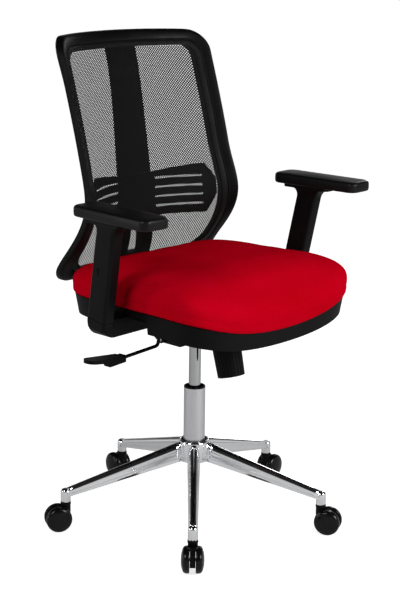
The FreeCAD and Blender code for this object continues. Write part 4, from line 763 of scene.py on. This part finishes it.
def lumbar_plate():
    """The plate's grid without the faces of its four rows of slots, thickened by 3.5 mm to the rear."""
    points, levels = lumbar_points()
    rows, columns = points.shape[:2]
    index = np.arange(rows * columns).reshape(rows, columns)
    middle = points[:-1, :-1, 0] / 2 + points[:-1, 1:, 0] / 2
    in_row = np.abs(levels[:-1, None] - slot_feet).min(1) < 1e-6
    slot = in_row[:, None] & (np.abs(middle) > slot_inner) & (np.abs(middle) < slot_outer)
    quads = np.stack([index[:-1, :-1], index[:-1, 1:], index[1:, 1:], index[1:, :-1]], -1)[~slot]
    data = bpy.data.meshes.new("lumbar_plate")
    data.from_pydata(points.reshape(-1, 3).tolist(), [], quads.tolist())
    plate = bpy.data.objects.new("lumbar_plate", data)
    bpy.context.scene.collection.objects.link(plate)
    wall = plate.modifiers.new("wall", "SOLIDIFY")
    wall.thickness, wall.offset = 0.0035, -1.0
    edge = plate.modifiers.new("edge", "BEVEL")
    edge.width, edge.segments, edge.angle_limit = 0.0007, 2, math.radians(50)
    return plate


lumbar = lumbar_plate()
lumbar.data.materials.append(moulding)
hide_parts("lumbar_support")
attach(lumbar, "lumbar")


def slider_points():
    """A neck through the spine's slit and a flat head behind it, as rounded rectangles from front to rear."""
    behind = np.array([0.0025, 0.0240, 0.0240, 0.0247, 0.0273, 0.0280])
    half = np.array([0.0040, 0.0040, 0.0213, 0.0220, 0.0220, 0.0213])
    high = np.array([0.0170, 0.0170, 0.0163, 0.0170, 0.0170, 0.0163])
    x, up = rounded_rings(half, high, np.full(6, 0.0020))
    z = 0.739 + up
    return np.stack([x, spine_face(z) + behind[:, None], z], -1)


slider = capped_mesh("lumbar_slider", slider_points())
slider.data.materials.append(moulding)
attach(slider, "lumbar")


def smooth_line(pairs):
    """The natural cubic spline through (place, value) pairs, as a function of arrays."""
    places, values = np.array(pairs, float).T
    steps = np.diff(places)
    count = len(places)
    system, bend = np.eye(count), np.zeros(count)
    for i in range(1, count - 1):
        system[i, i - 1:i + 2] = steps[i - 1], 2 * (steps[i - 1] + steps[i]), steps[i]
        bend[i] = 6 * ((values[i + 1] - values[i]) / steps[i] - (values[i] - values[i - 1]) / steps[i - 1])
    curve = np.linalg.solve(system, bend)

    def value_at(place):
        i = np.clip(np.searchsorted(places, place) - 1, 0, count - 2)
        a, b = places[i + 1] - place, place - places[i]
        bent = (curve[i] * a**3 + curve[i + 1] * b**3) / (6 * steps[i])
        straight = (values[i] / steps[i] - curve[i] * steps[i] / 6) * a
        return bent + straight + (values[i + 1] / steps[i] - curve[i + 1] * steps[i] / 6) * b

    return value_at


edge_depth = smooth_line([
    (0.560, 0.205), (0.600, 0.183), (0.650, 0.147), (0.700, 0.122), (0.745, 0.1155), (0.800, 0.127),
    (0.900, 0.154), (1.000, 0.184), (1.130, 0.225)])


def hollow_depth(x):
    """How far the back's face comes forward at the sides: a parabola and a sixth power."""
    return x * x / 1.2 + 0.017 * (np.abs(x) / 0.227) ** 6


def back_depth(x, z):
    """Front face of the back: its depth at the window's edge, plus the hollow between the edges."""
    share = 0.1 + 0.9 * smooth_step(z, 0.610, 0.815)
    return edge_depth(z) + share * (hollow_depth(0.192) - hollow_depth(x))


def loop_outline(half_top, half_low, top, arch, foot, corner_top, corner_low, offset=0.0):
    """Closed front view of the back as x, z arrays: foot, round corner, side, round corner, arched top."""
    top, foot = top + offset, foot - offset
    corner_top, corner_low = corner_top + offset, corner_low + offset
    high, low = top - arch - corner_top, foot + corner_low
    rise = np.linspace(low, high, 60)
    wide = half_top + (half_low - half_top) * (1 - smooth_step(rise, 0.639, 0.860)) + offset
    turn = np.linspace(0, np.pi / 2, 16)[1:-1]
    foot_x = np.linspace(0, wide[0] - corner_low, 24)
    foot_z = np.full_like(foot_x, foot)
    low_x = wide[0] - corner_low + corner_low * np.sin(turn)
    low_z = foot + corner_low - corner_low * np.cos(turn)
    slant = arch * 0.35
    top_x = np.linspace(wide[-1] - corner_top, 0, 24)
    top_z = top - slant * (top_x / top_x[0]) ** 2
    high_x = wide[-1] - corner_top + corner_top * np.cos(turn)
    high_z = high + (top - slant - high) * np.sin(turn)
    x = np.concatenate([foot_x, low_x, wide, high_x, top_x])
    z = np.concatenate([foot_z, low_z, rise, high_z, top_z])
    return np.concatenate([x, -x[-2:0:-1]]), np.concatenate([z, z[-2:0:-1]])


window_loop = (0.1965, 0.2085, 1.080, 0.0054, 0.599, 0.022, 0.038)
outer_loop = (0.231, 0.2475, 1.118, 0.009, 0.568, 0.042, 0.042)
window_x, window_z = loop_outline(*window_loop)


def rim_points(across, behind):
    """The loop's section carried round it: across is the share of the way from the window's edge to the
    outside, behind the depth below the back's face, which grows by a quarter towards the top."""
    outer_x, outer_z = loop_outline(*outer_loop)
    share = across[:, None]
    x = window_x + (outer_x - window_x) * share
    z = window_z + (outer_z - window_z) * share
    deeper = 1 + 0.26 * smooth_step(z, 1.00, 1.10)
    return np.stack([x, back_depth(x, z) + behind[:, None] * deeper, z], -1)


def way_round(x, z):
    """Length along a closed outline, from its first point."""
    steps = np.hypot(np.diff(x, append=x[:1]), np.diff(z, append=z[:1]))
    return np.concatenate([[0.0], np.cumsum(steps)[:-1]])


def wrapped_rim():
    """Black moulding whose inner band is wrapped by the net: crossed threads there, and a line of dots where
    the net is pressed into its groove, raised as relief and also painted lighter as a painted highlight of
    their glints; V is the share across the band, U metres along it."""
    material, tree, shader = new_material("wrapped_rim")
    spot = node(tree, "ShaderNodeSeparateXYZ", {0: node(tree, "ShaderNodeUVMap", uv_map="UVMap").outputs[0]})
    along, across = spot.outputs["X"], spot.outputs["Y"]
    down = reckon(tree, "MULTIPLY", across, 0.028)
    waves = []
    for way in ("ADD", "SUBTRACT"):
        swing = reckon(tree, "MULTIPLY", reckon(tree, way, along, down), 2 * math.pi / 0.0034)
        waves.append(reckon(tree, "COSINE", swing))
    threads = reckon(tree, "MAXIMUM", *waves)
    inner = spread(tree, across, 1.0, 0.0, 0.33, 0.36)
    beat = reckon(tree, "COSINE", reckon(tree, "MULTIPLY", along, 2 * math.pi / 0.0042))
    dots = spread(tree, beat, 0.0, 1.0, 0.2, 0.6)
    off_line = reckon(tree, "ABSOLUTE", reckon(tree, "SUBTRACT", across, 0.43))
    on_line = spread(tree, off_line, 1.0, 0.0, 0.012, 0.026)
    # dots along the groove line: real relief, and in the colour below a painted highlight of their glints
    groove_dots_and_painted_glints = reckon(tree, "MULTIPLY", dots, on_line)
    woven = reckon(tree, "MULTIPLY", spread(tree, threads, 0.0, 1.0, -0.2, 0.8), inner)
    place = object_place(tree)
    patches = noise(tree, place, 14, 3)
    # colour: the woven threads in their own tone, and the groove dots painted lighter as a painted highlight
    weave_and_painted_glints = reckon(tree, "MAXIMUM", reckon(tree, "MULTIPLY", woven, 0.35), groove_dots_and_painted_glints)
    tint(tree, shader, weave_and_painted_glints, (0.0026, 0.0025, 0.0027), (0.020, 0.0195, 0.020))
    roughen(tree, shader, patches, 0.36, 0.50, 0.3, 0.7)
    shader.inputs["Specular IOR Level"].default_value = 0.08
    grain = cells(tree, place, 1400.0)
    fine = bump(tree, shader, grain, 0.00006, 0.5)
    bump(tree, shader, reckon(tree, "ADD", woven, groove_dots_and_painted_glints), 0.0003, 0.7, fine)
    return material


section = np.array([
    (0.0, 9.0), (0.0, 3.0), (0.004, 1.2), (0.018, 0.4), (0.05, 0.1), (0.10, 0.0), (0.21, 0.0),
    (0.31, 0.2), (0.335, 0.9), (0.352, 1.6), (0.37, 0.9), (0.395, 0.1),
    (0.48, -0.5), (0.62, -0.7), (0.76, -0.5), (0.86, 0.0), (0.93, 1.0), (0.975, 2.6), (0.996, 5.0),
    (1.0, 9.0), (1.0, 14.5), (0.996, 18.4), (0.975, 20.6), (0.93, 21.8), (0.85, 22.2),
    (0.60, 21.6), (0.30, 20.4), (0.10, 19.6), (0.03, 18.4), (0.004, 16.0)])
rim = rim_points(section[:, 0], section[:, 1] / 1000)
spots = np.stack(np.broadcast_arrays(way_round(window_x, window_z)[None], section[:, :1]), -1)
back_rim = grid_mesh("back_rim", rim, wrap_rows=True, wrap_columns=True, uv=spots)
back_rim.data.materials.append(wrapped_rim())
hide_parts("back_frame")
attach(back_rim, "back")
net_x, net_z = loop_outline(*window_loop, offset=-0.0003)


def net_points(rings=46):
    """The window's outline shrunk towards its middle in rings, laid on the back's curve 2.6 mm behind
    its face."""
    share, middle = np.linspace(1, 0.01, rings)[:, None], 0.8435
    x = net_x[None] * share
    z = middle + (net_z[None] - middle) * share
    return np.stack([x, back_depth(x, z) + 0.0026, z], -1)


def net_cloth():
    """Warp-knitted net: round holes on a staggered lattice in the piece's own UV metres, 5 mm apart."""
    material, tree, shader = new_material("black_net")
    place = node(tree, "ShaderNodeUVMap", uv_map="UVMap").outputs[0]
    meshes = node(tree, "ShaderNodeMapping", {0: place, "Rotation": (0, 0, math.radians(45)),
                                              "Scale": (214.0, 214.0, 1.0)}).outputs[0]
    split = node(tree, "ShaderNodeSeparateXYZ", {0: meshes})
    turns = [reckon(tree, "MULTIPLY", split.outputs[axis], 2 * math.pi) for axis in ("X", "Y")]
    waves = [reckon(tree, "COSINE", swing) for swing in turns]
    lattice = reckon(tree, "ADD", *waves)
    hole = reckon(tree, "GREATER_THAN", lattice, 0.80)
    thread = reckon(tree, "SUBTRACT", 1.0, hole)
    shader.inputs["Base Color"].default_value = (0.005, 0.0048, 0.005, 1)
    shader.inputs["Roughness"].default_value = 0.6
    shader.inputs["Specular IOR Level"].default_value = 0.08
    tree.links.new(thread, shader.inputs["Alpha"])
    bump(tree, shader, lattice, 0.0002, 0.6)
    return material


points = net_points()
heights = np.linspace(0.58, 1.10, 400)
arc = np.concatenate([[0.0], np.cumsum(np.hypot(np.diff(edge_depth(heights)), np.diff(heights)))])
uv = np.stack([points[..., 0], np.interp(points[..., 2], heights, arc)], -1)
net = grid_mesh("back_net", points, wrap_columns=True, close_last=True, uv=uv)
net.data.materials.append(net_cloth())
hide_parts("back_mesh")
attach(net, "back")
